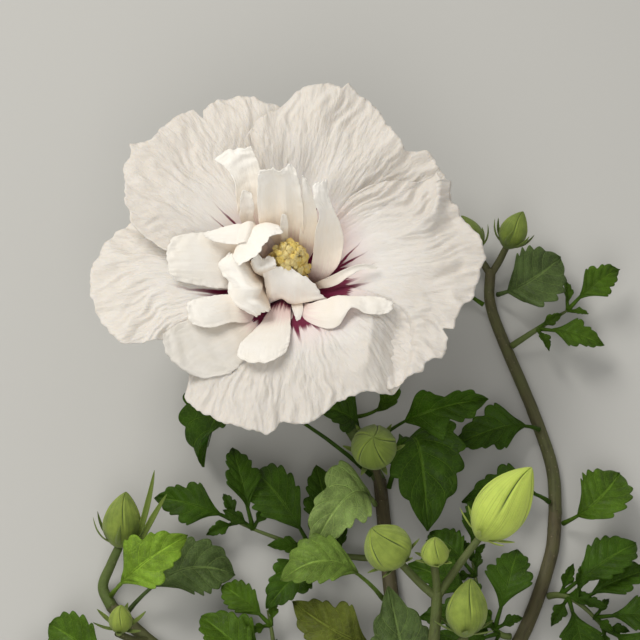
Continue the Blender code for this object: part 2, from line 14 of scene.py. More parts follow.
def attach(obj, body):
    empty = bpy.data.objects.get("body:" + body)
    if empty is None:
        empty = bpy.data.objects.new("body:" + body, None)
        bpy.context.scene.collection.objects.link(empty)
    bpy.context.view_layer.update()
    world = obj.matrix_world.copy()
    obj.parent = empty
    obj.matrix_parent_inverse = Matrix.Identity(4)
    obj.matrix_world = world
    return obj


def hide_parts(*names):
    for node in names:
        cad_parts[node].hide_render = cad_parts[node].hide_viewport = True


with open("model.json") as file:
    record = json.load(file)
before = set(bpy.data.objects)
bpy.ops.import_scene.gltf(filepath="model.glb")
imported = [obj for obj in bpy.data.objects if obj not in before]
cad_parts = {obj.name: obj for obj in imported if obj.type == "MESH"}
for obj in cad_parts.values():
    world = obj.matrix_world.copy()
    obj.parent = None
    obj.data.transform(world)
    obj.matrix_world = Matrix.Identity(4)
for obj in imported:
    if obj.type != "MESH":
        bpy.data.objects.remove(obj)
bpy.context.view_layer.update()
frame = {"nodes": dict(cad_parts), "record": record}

mm = 0.001
up = Vector((0, 0, 1))
goldenAngle = math.radians(137.5)

# Sizes are in millimetres in the sprig's own plan, whose origin is on the floor under the bloom's middle.
# The cut end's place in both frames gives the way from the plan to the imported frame.
cutEnd = Vector((33, -150, 2.8))
mounts = {mount["name"]: mount for mount in frame["record"]["mounts"]}
planToFrame = Vector(mounts["cut_end"]["pos_m"]) - cutEnd * mm


def toFrame(point):
    return Vector(point) * mm + planToFrame


def mix(a, b, share):
    return a + (b - a) * share


def smoothStep(low, high, value):
    share = min(1, max(0, (value - low) / (high - low)))
    return share * share * (3 - 2 * share)


def softCurve(stops):  # a smooth curve through (position, value) stops that never swings past them
    places = [place for place, _ in stops]
    steps = [(v1 - v0) / (p1 - p0) for (p0, v0), (p1, v1) in zip(stops, stops[1:])]
    slopes = [steps[0]]
    for before, after in zip(steps, steps[1:]):
        slopes.append(2 * before * after / (before + after) if before * after > 0 else 0)
    slopes.append(steps[-1])

    def at(place):
        index = min(len(steps) - 1, max(0, bisect_right(places, place) - 1))
        width = places[index + 1] - places[index]
        s = min(1, max(0, (place - places[index]) / width))
        low, high = stops[index][1], stops[index + 1][1]
        return (
            low * (2 * s**3 - 3 * s**2 + 1)
            + slopes[index] * width * (s**3 - 2 * s**2 + s)
            + high * (3 * s**2 - 2 * s**3)
            + slopes[index + 1] * width * (s**3 - s**2)
        )

    return at


def splinePoint(points, share):  # a share of the way along a soft line through points
    last = len(points) - 1
    index = min(last - 1, int(share * last))
    t = share * last - index
    start, end = points[index], points[index + 1]
    before = points[index - 1] if index else 2 * start - end
    after = points[index + 2] if index + 2 <= last else 2 * end - start
    return (
        start * (2 * t**3 - 3 * t**2 + 1)
        + (end - before) / 2 * (t**3 - 2 * t**2 + t)
        + end * (3 * t**2 - 2 * t**3)
        + (after - start) / 2 * (t**3 - t**2)
    )


def smoothLine(points, steps):  # a soft line through points, a number of steps for each stretch
    given = [Vector(point) for point in points]
    total = steps * (len(given) - 1)
    return [splinePoint(given, step / total) for step in range(total + 1)]


def midrib(foot, middle, tip):  # a curve through three points: its place, heading and level side
    foot, middle, tip = Vector(foot), Vector(middle), Vector(tip)
    pull = 2 * middle - (foot + tip) / 2
    level = (tip - foot).cross(up).normalized()

    def at(share):
        point = foot * (1 - share) ** 2 + pull * 2 * share * (1 - share) + tip * share**2
        heading = ((pull - foot) * (1 - share) + (tip - pull) * share).normalized()
        side = (level - heading * heading.dot(level)).normalized()
        return point, heading, side

    return at


def wave(x, y, z=0.0):  # smooth noise from about -1 to 1
    return noise.noise(Vector((x, y, z)))


def crest(x, y, z):  # the same, folded to sharp crests, from 0 in the valleys to 1
    return 1 - min(1, 2.2 * abs(noise.noise(Vector((x, y, z)))))


# New meshes: a flat grid, moved to its place point by point, then raised by its relief
def gridForm(rows, columns, place, relief=None):
    form = bmesh.new()
    form.loops.layers.uv.new("UVMap")
    bmesh.ops.create_grid(form, x_segments=columns, y_segments=rows, size=1, calc_uvs=True)
    spots = [(vertex.co.x, (vertex.co.y + 1) / 2) for vertex in form.verts]
    for vertex, spot in zip(form.verts, spots):
        vertex.co = toFrame(place(*spot))
    if relief:
        form.normal_update()
        for vertex, spot in zip(form.verts, spots):
            vertex.co += vertex.normal * relief(*spot) * mm
    return form


def closeRing(form, bottom=math.inf):  # welds a grid bent round to a ring, and caps its ends under bottom
    bmesh.ops.remove_doubles(form, verts=form.verts, dist=1e-6)
    openings = [edge for edge in form.edges if edge.is_boundary]
    low = [edge for edge in openings if max(vertex.co.z for vertex in edge.verts) < bottom]
    bmesh.ops.holes_fill(form, edges=low, sides=0)
    bmesh.ops.recalc_face_normals(form, faces=form.faces)


def addTo(whole, part):  # joins one bmesh to another
    mesh = bpy.data.meshes.new("part")
    part.to_mesh(mesh)
    part.free()
    whole.from_mesh(mesh)
    bpy.data.meshes.remove(mesh)


def newPiece(name, form, material, nodes):
    mesh = bpy.data.meshes.new(name)
    form.to_mesh(mesh)
    form.free()
    mesh.shade_smooth()
    mesh.materials.append(material)
    piece = bpy.data.objects.new(name, mesh)
    bpy.context.scene.collection.objects.link(piece)
    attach(piece, "root")
    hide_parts(*nodes)
    return piece


def thicken(piece, thickness):
    solid = piece.modifiers.new("thickness", "SOLIDIFY")
    solid.thickness = thickness * mm
    solid.offset = 0
    return piece


def fillOut(form, thickness):  # gives a bent sheet its thickness before it is joined to others
    bmesh.ops.solidify(form, geom=form.faces[:], thickness=thickness * mm)
    bmesh.ops.recalc_face_normals(form, faces=form.faces)
    return form


def tubeForm(line, radiusAt, sides):  # a closed round stem. radiusAt(share, turn) gives its radius
    rows = len(line) - 1
    rings = []
    for index, point in enumerate(line):
        heading = (line[min(rows, index + 1)] - line[max(0, index - 1)]).normalized()
        side = heading.cross(up if abs(heading.z) < 0.9 else Vector((0, 1, 0))).normalized()
        rings.append((point, side, side.cross(heading)))

    def place(a, t):
        point, side, over = rings[round(t * rows)]
        turn = math.pi * (a + 1)
        radius = radiusAt(t, turn)
        return point + side * radius * math.cos(turn) - over * radius * math.sin(turn)

    form = gridForm(rows, sides, place)
    closeRing(form)
    return form


# Shader values: an expression on one adds its Math nodes
class Value:
    def __init__(self, finish, socket):
        self.finish = finish
        self.socket = socket

    def __add__(self, other):
        return self.finish.maths("ADD", self, other)

    def __radd__(self, other):
        return self.finish.maths("ADD", other, self)

    def __sub__(self, other):
        return self.finish.maths("SUBTRACT", self, other)

    def __rsub__(self, other):
        return self.finish.maths("SUBTRACT", other, self)

    def __mul__(self, other):
        return self.finish.maths("MULTIPLY", self, other)

    def __rmul__(self, other):
        return self.finish.maths("MULTIPLY", other, self)

    def __truediv__(self, other):
        return self.finish.maths("DIVIDE", self, other)


class Finish:
    def __init__(self, name, constants):
        self.material = bpy.data.materials.new(name)
        self.material.use_nodes = True
        self.nodes = self.material.node_tree.nodes
        self.links = self.material.node_tree.links
        self.shader = self.nodes["Principled BSDF"]
        for socket, value in constants.items():
            self.shader.inputs[socket].default_value = value

    def node(self, kind, settings, values, output=0):
        made = self.nodes.new(kind)
        for setting, value in settings.items():
            setattr(made, setting, value)
        for socket, value in values.items():
            if isinstance(value, Value):
                self.links.new(value.socket, made.inputs[socket])
            else:
                made.inputs[socket].default_value = value
        return Value(self, made.outputs[output])

    def maths(self, operation, first, second=0.0):
        return self.node("ShaderNodeMath", {"operation": operation}, {0: first, 1: second})

    def step(self, low, high, value):  # 0 below low, 1 over high, soft between
        kind = {"interpolation_type": "SMOOTHSTEP"}
        return self.node("ShaderNodeMapRange", kind, {"Value": value, "From Min": low, "From Max": high})

    def blend(self, share, first, second):  # a colour between two
        colours = {6: first, 7: second}
        for socket, value in colours.items():
            colours[socket] = value if isinstance(value, Value) else (*value, 1)
        return self.node("ShaderNodeMix", {"data_type": "RGBA"}, {0: share, **colours}, 2)

    def place(self):  # where a point is on the object, in metres
        return self.node("ShaderNodeTexCoord", {}, {}, "Object")

    def sheetPlace(self):  # across from -1 to 1 and along from 0 to 1
        across, along, _ = self.split(self.node("ShaderNodeTexCoord", {}, {}, "UV"))
        return across * 2 - 1, along

    def split(self, vector):
        made = self.nodes.new("ShaderNodeSeparateXYZ")
        self.links.new(vector.socket, made.inputs[0])
        return [Value(self, output) for output in made.outputs]

    def join(self, x, y, z):
        return self.node("ShaderNodeCombineXYZ", {}, {0: x, 1: y, 2: z})

    def noise(self, vector, scale, detail, roughness):
        values = {"Vector": vector, "Scale": scale, "Detail": detail, "Roughness": roughness}
        return self.node("ShaderNodeTexNoise", {}, values)

    def colour(self, value):
        self.links.new(value.socket, self.shader.inputs["Base Color"])

    def roughness(self, value):
        self.links.new(value.socket, self.shader.inputs["Roughness"])

    def relief(self, height, depth):  # depth in millimetres
        bump = self.node("ShaderNodeBump", {}, {"Height": height, "Distance": depth * mm})
        self.links.new(bump.socket, self.shader.inputs["Normal"])


petalLook = {
    "litInner": (0.83, 0.80, 0.765),  # the outer petals' smooth lower half, painted lighter as if more brightly lit
    # painted shade: the outer petals' white and cream are darker copies of the petaloids' whites, as the
    # outer petals lie more in shade
    "white": (0.74, 0.70, 0.65),
    "cream": (0.71, 0.655, 0.58),
    "bright": (0.94, 0.905, 0.84),  # the petaloids: painted lighter copies of the petals' white and cream, as if more brightly lit
    "warm": (0.92, 0.86, 0.75),
    "flush": (0.90, 0.69, 0.50),
    "blush": (0.78, 0.50, 0.54),
    "crimson": (0.14, 0.002, 0.035),
    "shader": {"Roughness": 0.55, "Subsurface Weight": 0.4, "Subsurface Radius": (1.0, 0.85, 0.65),
               "Subsurface Scale": 0.0006, "Sheen Weight": 0.05, "Sheen Roughness": 0.5,
               "Specular IOR Level": 0.3},
    "petaloidShader": {"Subsurface Radius": (0.8, 0.8, 0.8)},
}


def toned(paintedLight, *shades):  # the petals' shades, made darker or lighter by painted light and shade
    return [[channel * paintedLight for channel in petalLook[shade]] for shade in shades]


def petalFinish(name, sizes, seed):  # white, with a crimson eye that runs out in a few streaks
    centre, eye = sizes["centre"], sizes["eye"]
    finish = Finish(name, petalLook["shader"])
    x, y, _ = finish.split(finish.place())
    axis = toFrame((0, 0, 0))
    x, y = (x - axis.x) / mm, (y - axis.y) / mm
    cosine, sine = math.cos(math.radians(centre)), math.sin(math.radians(centre))
    radius = finish.maths("SQRT", x * x + y * y)
    turn = finish.maths("ARCTAN2", y * cosine - x * sine, x * cosine + y * sine)  # from the petal's centre
    across, along = finish.sheetPlace()
    fine = finish.noise(finish.join(across * 60, along * 4 + seed, 0.0), 1.0, 3.0, 0.6)
    wander = finish.noise(finish.join(radius * 0.16, turn * 9, seed), 1.0, 2.0, 0.5)
    turn = turn + (wander - 0.5) * 0.06
    mark = 1 - finish.step(-1.5, 1.5, radius - eye + (fine - 0.5) * 6 + turn * sizes.get("eyeTilt", 0.0))
    for angle, reach, lean, width in sizes["streaks"]:
        left = 1 - finish.step(eye - 2, reach, radius)
        bearing = (radius - eye) * math.radians(lean) + math.radians(angle - centre)
        gap = finish.maths("ABSOLUTE", turn - bearing) * radius
        line = 1 - finish.step(0.35, 1.0, gap / (width * (0.25 + left)))
        mark = finish.maths("MAXIMUM", mark, line * left)
    halo = 1 - finish.step(0.0, 10.0, radius - eye)
    mottle = finish.noise(finish.place(), 160.0, 3.0, 0.6)
    # Painted light and shade: the petal's whites are made darker or lighter as the petal lies in shade or in
    # light
    litInner, white, cream = toned(sizes["paintedLight"], "litInner", "white", "cream")
    base = finish.blend(finish.step(0.35, 0.75, mottle) * 0.25, white, cream)
    # Painted light: the lower half takes the lighter inner white, standing in for brighter light there
    base = finish.blend(finish.step(0.5, 0.85, along + (mottle - 0.5) * 0.3), litInner, base)
    base = finish.blend(halo * 0.3, base, petalLook["blush"])
    base = finish.blend(finish.step(0.45, 0.62, fine) * 0.05, base, cream)
    finish.colour(finish.blend(finish.step(0.08, 0.8, mark), base, petalLook["crimson"]))
    crepe = finish.noise(finish.join(across * 34, along * 16 + seed, 0.0), 1.0, 4.0, 0.6)
    pores = finish.noise(finish.place(), 1400.0, 2.0, 0.6)
    finish.relief(crepe * (finish.step(0.45, 0.8, along) * 0.8 + 0.05) + pores * 0.12, 0.6)
    return finish.material


def petaloidFinish(name, crimson, seed, paintedLight=1.0, flush=0.35):  # crimson is how far that comes up its foot
    look = petalLook
    finish = Finish(name, {**look["shader"], **look["petaloidShader"]})
    across, along = finish.sheetPlace()
    fine = finish.noise(finish.join(across * 16, along * 2 + seed, seed), 1.0, 3.0, 0.6)
    foot = 1 - finish.step(0.25, 0.75, along + (fine - 0.5) * 0.3)
    ragged = along + (fine - 0.5) * 0.25
    mottle = finish.noise(finish.place(), 190.0, 3.0, 0.6)
    # Painted light and shade: the petaloid's whites, made darker or lighter by its painted light level
    bright, warm = toned(paintedLight, "bright", "warm")
    base = finish.blend(finish.step(0.35, 0.75, mottle) * 0.5, bright, warm)
    base = finish.blend(foot * flush, base, look["flush"])
    base = finish.blend((1 - finish.step(crimson, crimson + 0.2, ragged)) * 0.5, base, look["blush"])
    finish.colour(finish.blend(1 - finish.step(crimson - 0.1, crimson, ragged), base, look["crimson"]))
    crepe = finish.noise(finish.join(across * 15, along * 3 + seed, 0.0), 1.0, 4.0, 0.6)
    pores = finish.noise(finish.place(), 1400.0, 2.0, 0.6)
    finish.relief(crepe * 0.75 + pores * 0.25, 0.18)
    return finish.material


# The five outer petals. A margin is the rim's distance from the bloom's axis at angles against the clock
# from +X. Lift raises or drops the rim. Each fold is a line in the plan, its height, and how wide it falls
# away on its left and on its right. Right of a step's line the petal drops by its height over its width.
# A streak is its angle, how far out it runs, its lean and its width.
# Each petal's light level paints light and shade into its white: below 1 for petals that lie in shade, above
# 1 for those in the light.
outerPetals = {
    "right": {
        "centre": -5, "eye": 15.5, "eyeTilt": 5.0, "paintedLight": 0.92,
        "streaks": [(-25, 25, 0.2, 0.5), (-22.5, 27, 1.2, 1.1), (-16, 22, 1.2, 1.1), (-6.5, 28, 0.75, 0.5),
                    (4.5, 25, 0.8, 0.45), (10, 24, 1.8, 0.5)],
        "lift": 0.5, "lap": 2.6, "wrinkle": 1.7, "puff": 0.3, "ruffle": 0.9,
        "under": [(-62, 49), (-50, 47.6), (-36, 42), (-28, 37.8), (-25, 34.5), (-23.5, 28), (-22, 0)],
        "margin": [(-58, 40), (-52, 46), (-46, 47), (-42.5, 48.3), (-39.5, 47.6), (-35, 49.7), (-29, 48.5),
                   (-26.3, 46.5), (-25, 49), (-21, 48.3), (-18, 48.6), (-10, 51.5), (-3, 52.4), (4, 52.6),
                   (10, 50.8), (13, 48.8), (18, 48.2), (22, 47.8), (27, 49.2), (28.6, 46.4), (31.2, 47),
                   (32.4, 41.5), (37, 37), (41, 33.5), (48, 25)],
        "steps": [((36, 8), (39, 24), 1.4, 7)],
        "folds": [([(41.2, 25), (40.6, 17), (39.5, 12), (35.5, 9.3), (26, 4)], 2.6, 2.6, 1.3),
                  ([(47, -21.5), (42, -19.5), (34, -16.5)], -0.9, 1.6, 1.6),
                  ([(50, -1), (38, -1), (28, -2)], 0.45, 2.0, 2.0)],
    },
    "top": {
        "centre": 66, "eye": 15.5, "paintedLight": 0.97,
        "streaks": [(50, 30, -0.3, 0.45), (54, 22, 0, 0.6), (60, 20, 0, 0.6), (66.8, 31, 0, 0.5),
                    (82, 23, 0, 0.6)],
        "lift": 1.5, "lap": 1.2, "wrinkle": 0.9, "puff": 0.15, "ruffle": 0.9,
        "margin": [(16, 45), (28, 50), (36, 51), (41.5, 51.3), (44, 48.5), (46.5, 46.6), (51, 47.4),
                   (57, 49.3), (65, 52.4), (70, 53), (72.6, 54.3), (74, 52.5), (78, 53.1), (83, 51.7),
                   (87.5, 50.2), (91, 46.6), (99, 43), (105, 40.4), (116, 30)],
        "steps": [((10, 25), (30, 38), 4.5, 11)],
        "folds": [([(15.7, 52), (12, 48.9), (9, 45.8), (7.8, 39), (6.7, 30)], 1.5, 5.0, 2.0),
                  ([(8.5, 53), (5, 43), (1.5, 34), (-1, 25)], 1.7, 8.0, 6.0),
                  ([(-6.9, 43), (-7.6, 33), (-7.6, 26)], 0.6, 2.0, 2.0),
                  ([(0, 48), (-1.9, 39), (-2.6, 30)], 0.6, 2.0, 2.0)],
    },
    "upper_left": {
        "centre": 131, "eye": 15.5, "paintedLight": 0.97,
        "streaks": [(118, 21, 0, 0.6), (126, 22, 0, 0.6), (141.5, 33, -0.2, 0.5), (148, 32, 0, 0.4)],
        "lift": 0.5, "lap": 2.4, "wrinkle": 1.1, "puff": 0.25, "ruffle": 0.8,
        "margin": [(84, 40), (95, 48), (100, 50), (106, 52.6), (114, 52.8), (117.6, 52), (119, 49.8),
                   (120.6, 53.4), (128, 53.7), (137, 52.3), (139.5, 53.6), (142, 55.5), (143.8, 54),
                   (149, 53), (155, 49.8), (164, 45.5), (168, 43), (178, 33)],
        "folds": [([(-24.7, 46), (-21.5, 36.4), (-17.8, 29)], -0.8, 1.8, 1.8)],
    },
    "left": {
        "centre": 190, "eye": 15.0, "paintedLight": 1.03,
        "streaks": [(180, 23, 0, 0.7), (188, 22, 0, 0.7), (209, 41, -0.9, 1.1), (212, 35, -0.9, 0.8)],
        "lift": -3.0, "lap": 2.4, "wrinkle": 1.4, "puff": 0.2, "ruffle": 0.9,
        "margin": [(160, 40), (164, 45.2), (170, 49.2), (177, 52.3), (186, 54.3), (195, 54.4), (203, 52.6),
                   (207, 51.6), (209.6, 50.2), (210.6, 48), (212, 46.2), (213.4, 43), (220, 30)],
    },
    "bottom": {
        "centre": 277, "eye": 18.4, "paintedLight": 0.94,
        "streaks": [(256, 22, 0, 0.7), (264, 21, 0, 0.7), (276.5, 27, 0.25, 1.0), (283, 22, 0, 1.2),
                    (287, 21, 0.3, 1.2), (291, 25, 0.6, 1.0), (298, 22, 0.6, 0.7)],
        "lift": -4.5, "lap": 2.4, "wrinkle": 1.3, "puff": 0.25, "ruffle": 0.8,
        "margin": [(222, 32), (228, 39), (231.4, 43.2), (234.5, 47.6), (243, 48.5), (254, 49), (263.5, 49.3),
                   (265.6, 48.7), (267, 46.3), (269, 45.8), (274, 46.9), (280.4, 45.4), (289, 42.4),
                   (295, 42.2), (299, 43), (303, 45.4), (308, 46.6), (313, 46), (319.5, 44.4), (326, 42.4),
                   (332, 40), (338, 37)],
        "steps": [((27, -20), (25, -40), -0.5, 2)],
        "folds": [([(22.4, -19), (20.7, -29.3), (18.2, -39)], 2.0, 2.4, 5.0),
                  ([(28.6, -20), (28.6, -30.3), (27.6, -40), (26.4, -50)], -3.0, 3.4, 2.6)],
    },
}
bloom = {
    "foot": Vector((0, 0, 24.0)),
    "depth": 25.0,
    "flare": 12.0,
    "petalStart": 2.0,
    "reachPower": 1.4,
    "footSpread": 0.8,
    "under": 3.0,
    "petalThickness": 0.26,
    "rows": 110,
    "columns": 230,
    "rimRadius": 40,  # where the folds and wrinkles are measured round
    "frill": (0.75, 0.4),
    "softFolds": 0.9,
    "wrinkles": (0.52, 0.5),  # broad and fine
    "veins": 0.05,
    "flutter": 0.55,
}


def foldHeight(x, y, fold):  # the relief of one fold at a place
    line, height, left, right = fold
    best, across, share = math.inf, 0.0, 0.0
    for index, ((x0, y0), (x1, y1)) in enumerate(zip(line, line[1:])):
        dx, dy = x1 - x0, y1 - y0
        length = math.hypot(dx, dy)
        s = min(1, max(0, ((x - x0) * dx + (y - y0) * dy) / length**2))
        gap = math.hypot(x - x0 - s * dx, y - y0 - s * dy)
        if gap < best:
            best = gap
            across = (dx * (y - y0) - dy * (x - x0)) / length
            share = (index + s) / (len(line) - 1)
    width = left if across > 0 else right
    return height * math.exp(-((best / width) ** 1.5)) * (1 - smoothStep(0.55, 1.0, share))


def stepHeight(x, y, step):  # the drop on one side of a straight line, which fades in from its start
    (x0, y0), (x1, y1), height, width = step
    length = math.hypot(x1 - x0, y1 - y0)
    across = ((x1 - x0) * (y - y0) - (y1 - y0) * (x - x0)) / length
    share = ((x - x0) * (x1 - x0) + (y - y0) * (y1 - y0)) / length**2
    return -height * smoothStep(0, width, -across) * smoothStep(-0.5, 0.4, share)


def outerPetal(name, sizes):
    margin = softCurve(sizes["margin"])
    first, last = sizes["margin"][0][0], sizes["margin"][-1][0]
    centre, seed = (first + last) / 2, 7.3 * len(name)
    under = softCurve(sizes.get("under", [(first, 0), (last, 0)]))
    (broadFrill, fineFrill), (broadWrinkle, fineWrinkle) = bloom["frill"], bloom["wrinkles"]

    def place(a, t):
        angle = mix(first, last, (a + 1) / 2)
        arc = math.radians(angle) * bloom["rimRadius"]
        frill = broadFrill * wave(arc / 2.4, seed) + fineFrill * wave(arc, seed)
        reach = margin(angle) + frill * smoothStep(0.75, 1, t)
        radius = mix(bloom["petalStart"], reach, t ** bloom["reachPower"])
        spread = mix(bloom["footSpread"], 1, min(1, 2 * t))
        turn = math.radians(centre + (angle - centre) * spread)
        x, y = radius * math.cos(turn), radius * math.sin(turn)
        height = bloom["depth"] * (1 - math.exp(-radius / bloom["flare"]))
        height += sizes["lift"] * t**3 + sizes["lap"] * a * t
        height -= bloom["under"] * smoothStep(0, 2.4, under(angle) - radius)
        # Broad swells, then soft folds that run outward
        height += sizes["ruffle"] * smoothStep(0.3, 0.85, t) * wave(x / 13, y / 13, 4.0)
        height += bloom["softFolds"] * smoothStep(0.25, 0.6, t) * wave(arc / 7.5, radius / 38, seed + 11)
        # Crossing wrinkles in the outer half, faint veins in the lower
        outer = smoothStep(0.56, 0.86, t)
        bend = 1.5 * wave(radius / 14, arc / 22, seed) + 0.45 * wave(radius / 5, arc / 7, seed + 2)
        broad = crest(arc / 4.3 + bend, radius / 26, seed) - 0.5
        fine = crest(arc / 2.0 + 1.5 * bend, radius / 13, seed + 5) - 0.5
        patchy = 0.85 + 0.8 * wave(x / 10, y / 10, seed + 8)
        height += sizes["wrinkle"] * outer * patchy * (broadWrinkle * broad + fineWrinkle * fine)
        height += bloom["veins"] * fine * smoothStep(0.2, 0.4, t) * (1 - outer)
        height += sizes["puff"] * outer * wave(x / 2.6, y / 2.6, seed)
        height += bloom["flutter"] * smoothStep(0.88, 1, t) * wave(arc / 3.1, seed, 2.0)
        height += sum(foldHeight(x, y, fold) for fold in sizes.get("folds", ()))
        height += sum(stepHeight(x, y, step) for step in sizes.get("steps", ()))
        return bloom["foot"] + Vector((x, y, height))

    return place


def makeOuterPetals():
    for index, (name, sizes) in enumerate(outerPetals.items()):
        form = gridForm(bloom["rows"], bloom["columns"], outerPetal(name, sizes))
        finish = petalFinish("petal_" + name, sizes, 1.7 * index + 2)
        thicken(newPiece("petal_" + name, form, finish, ["bloom"]), bloom["petalThickness"])


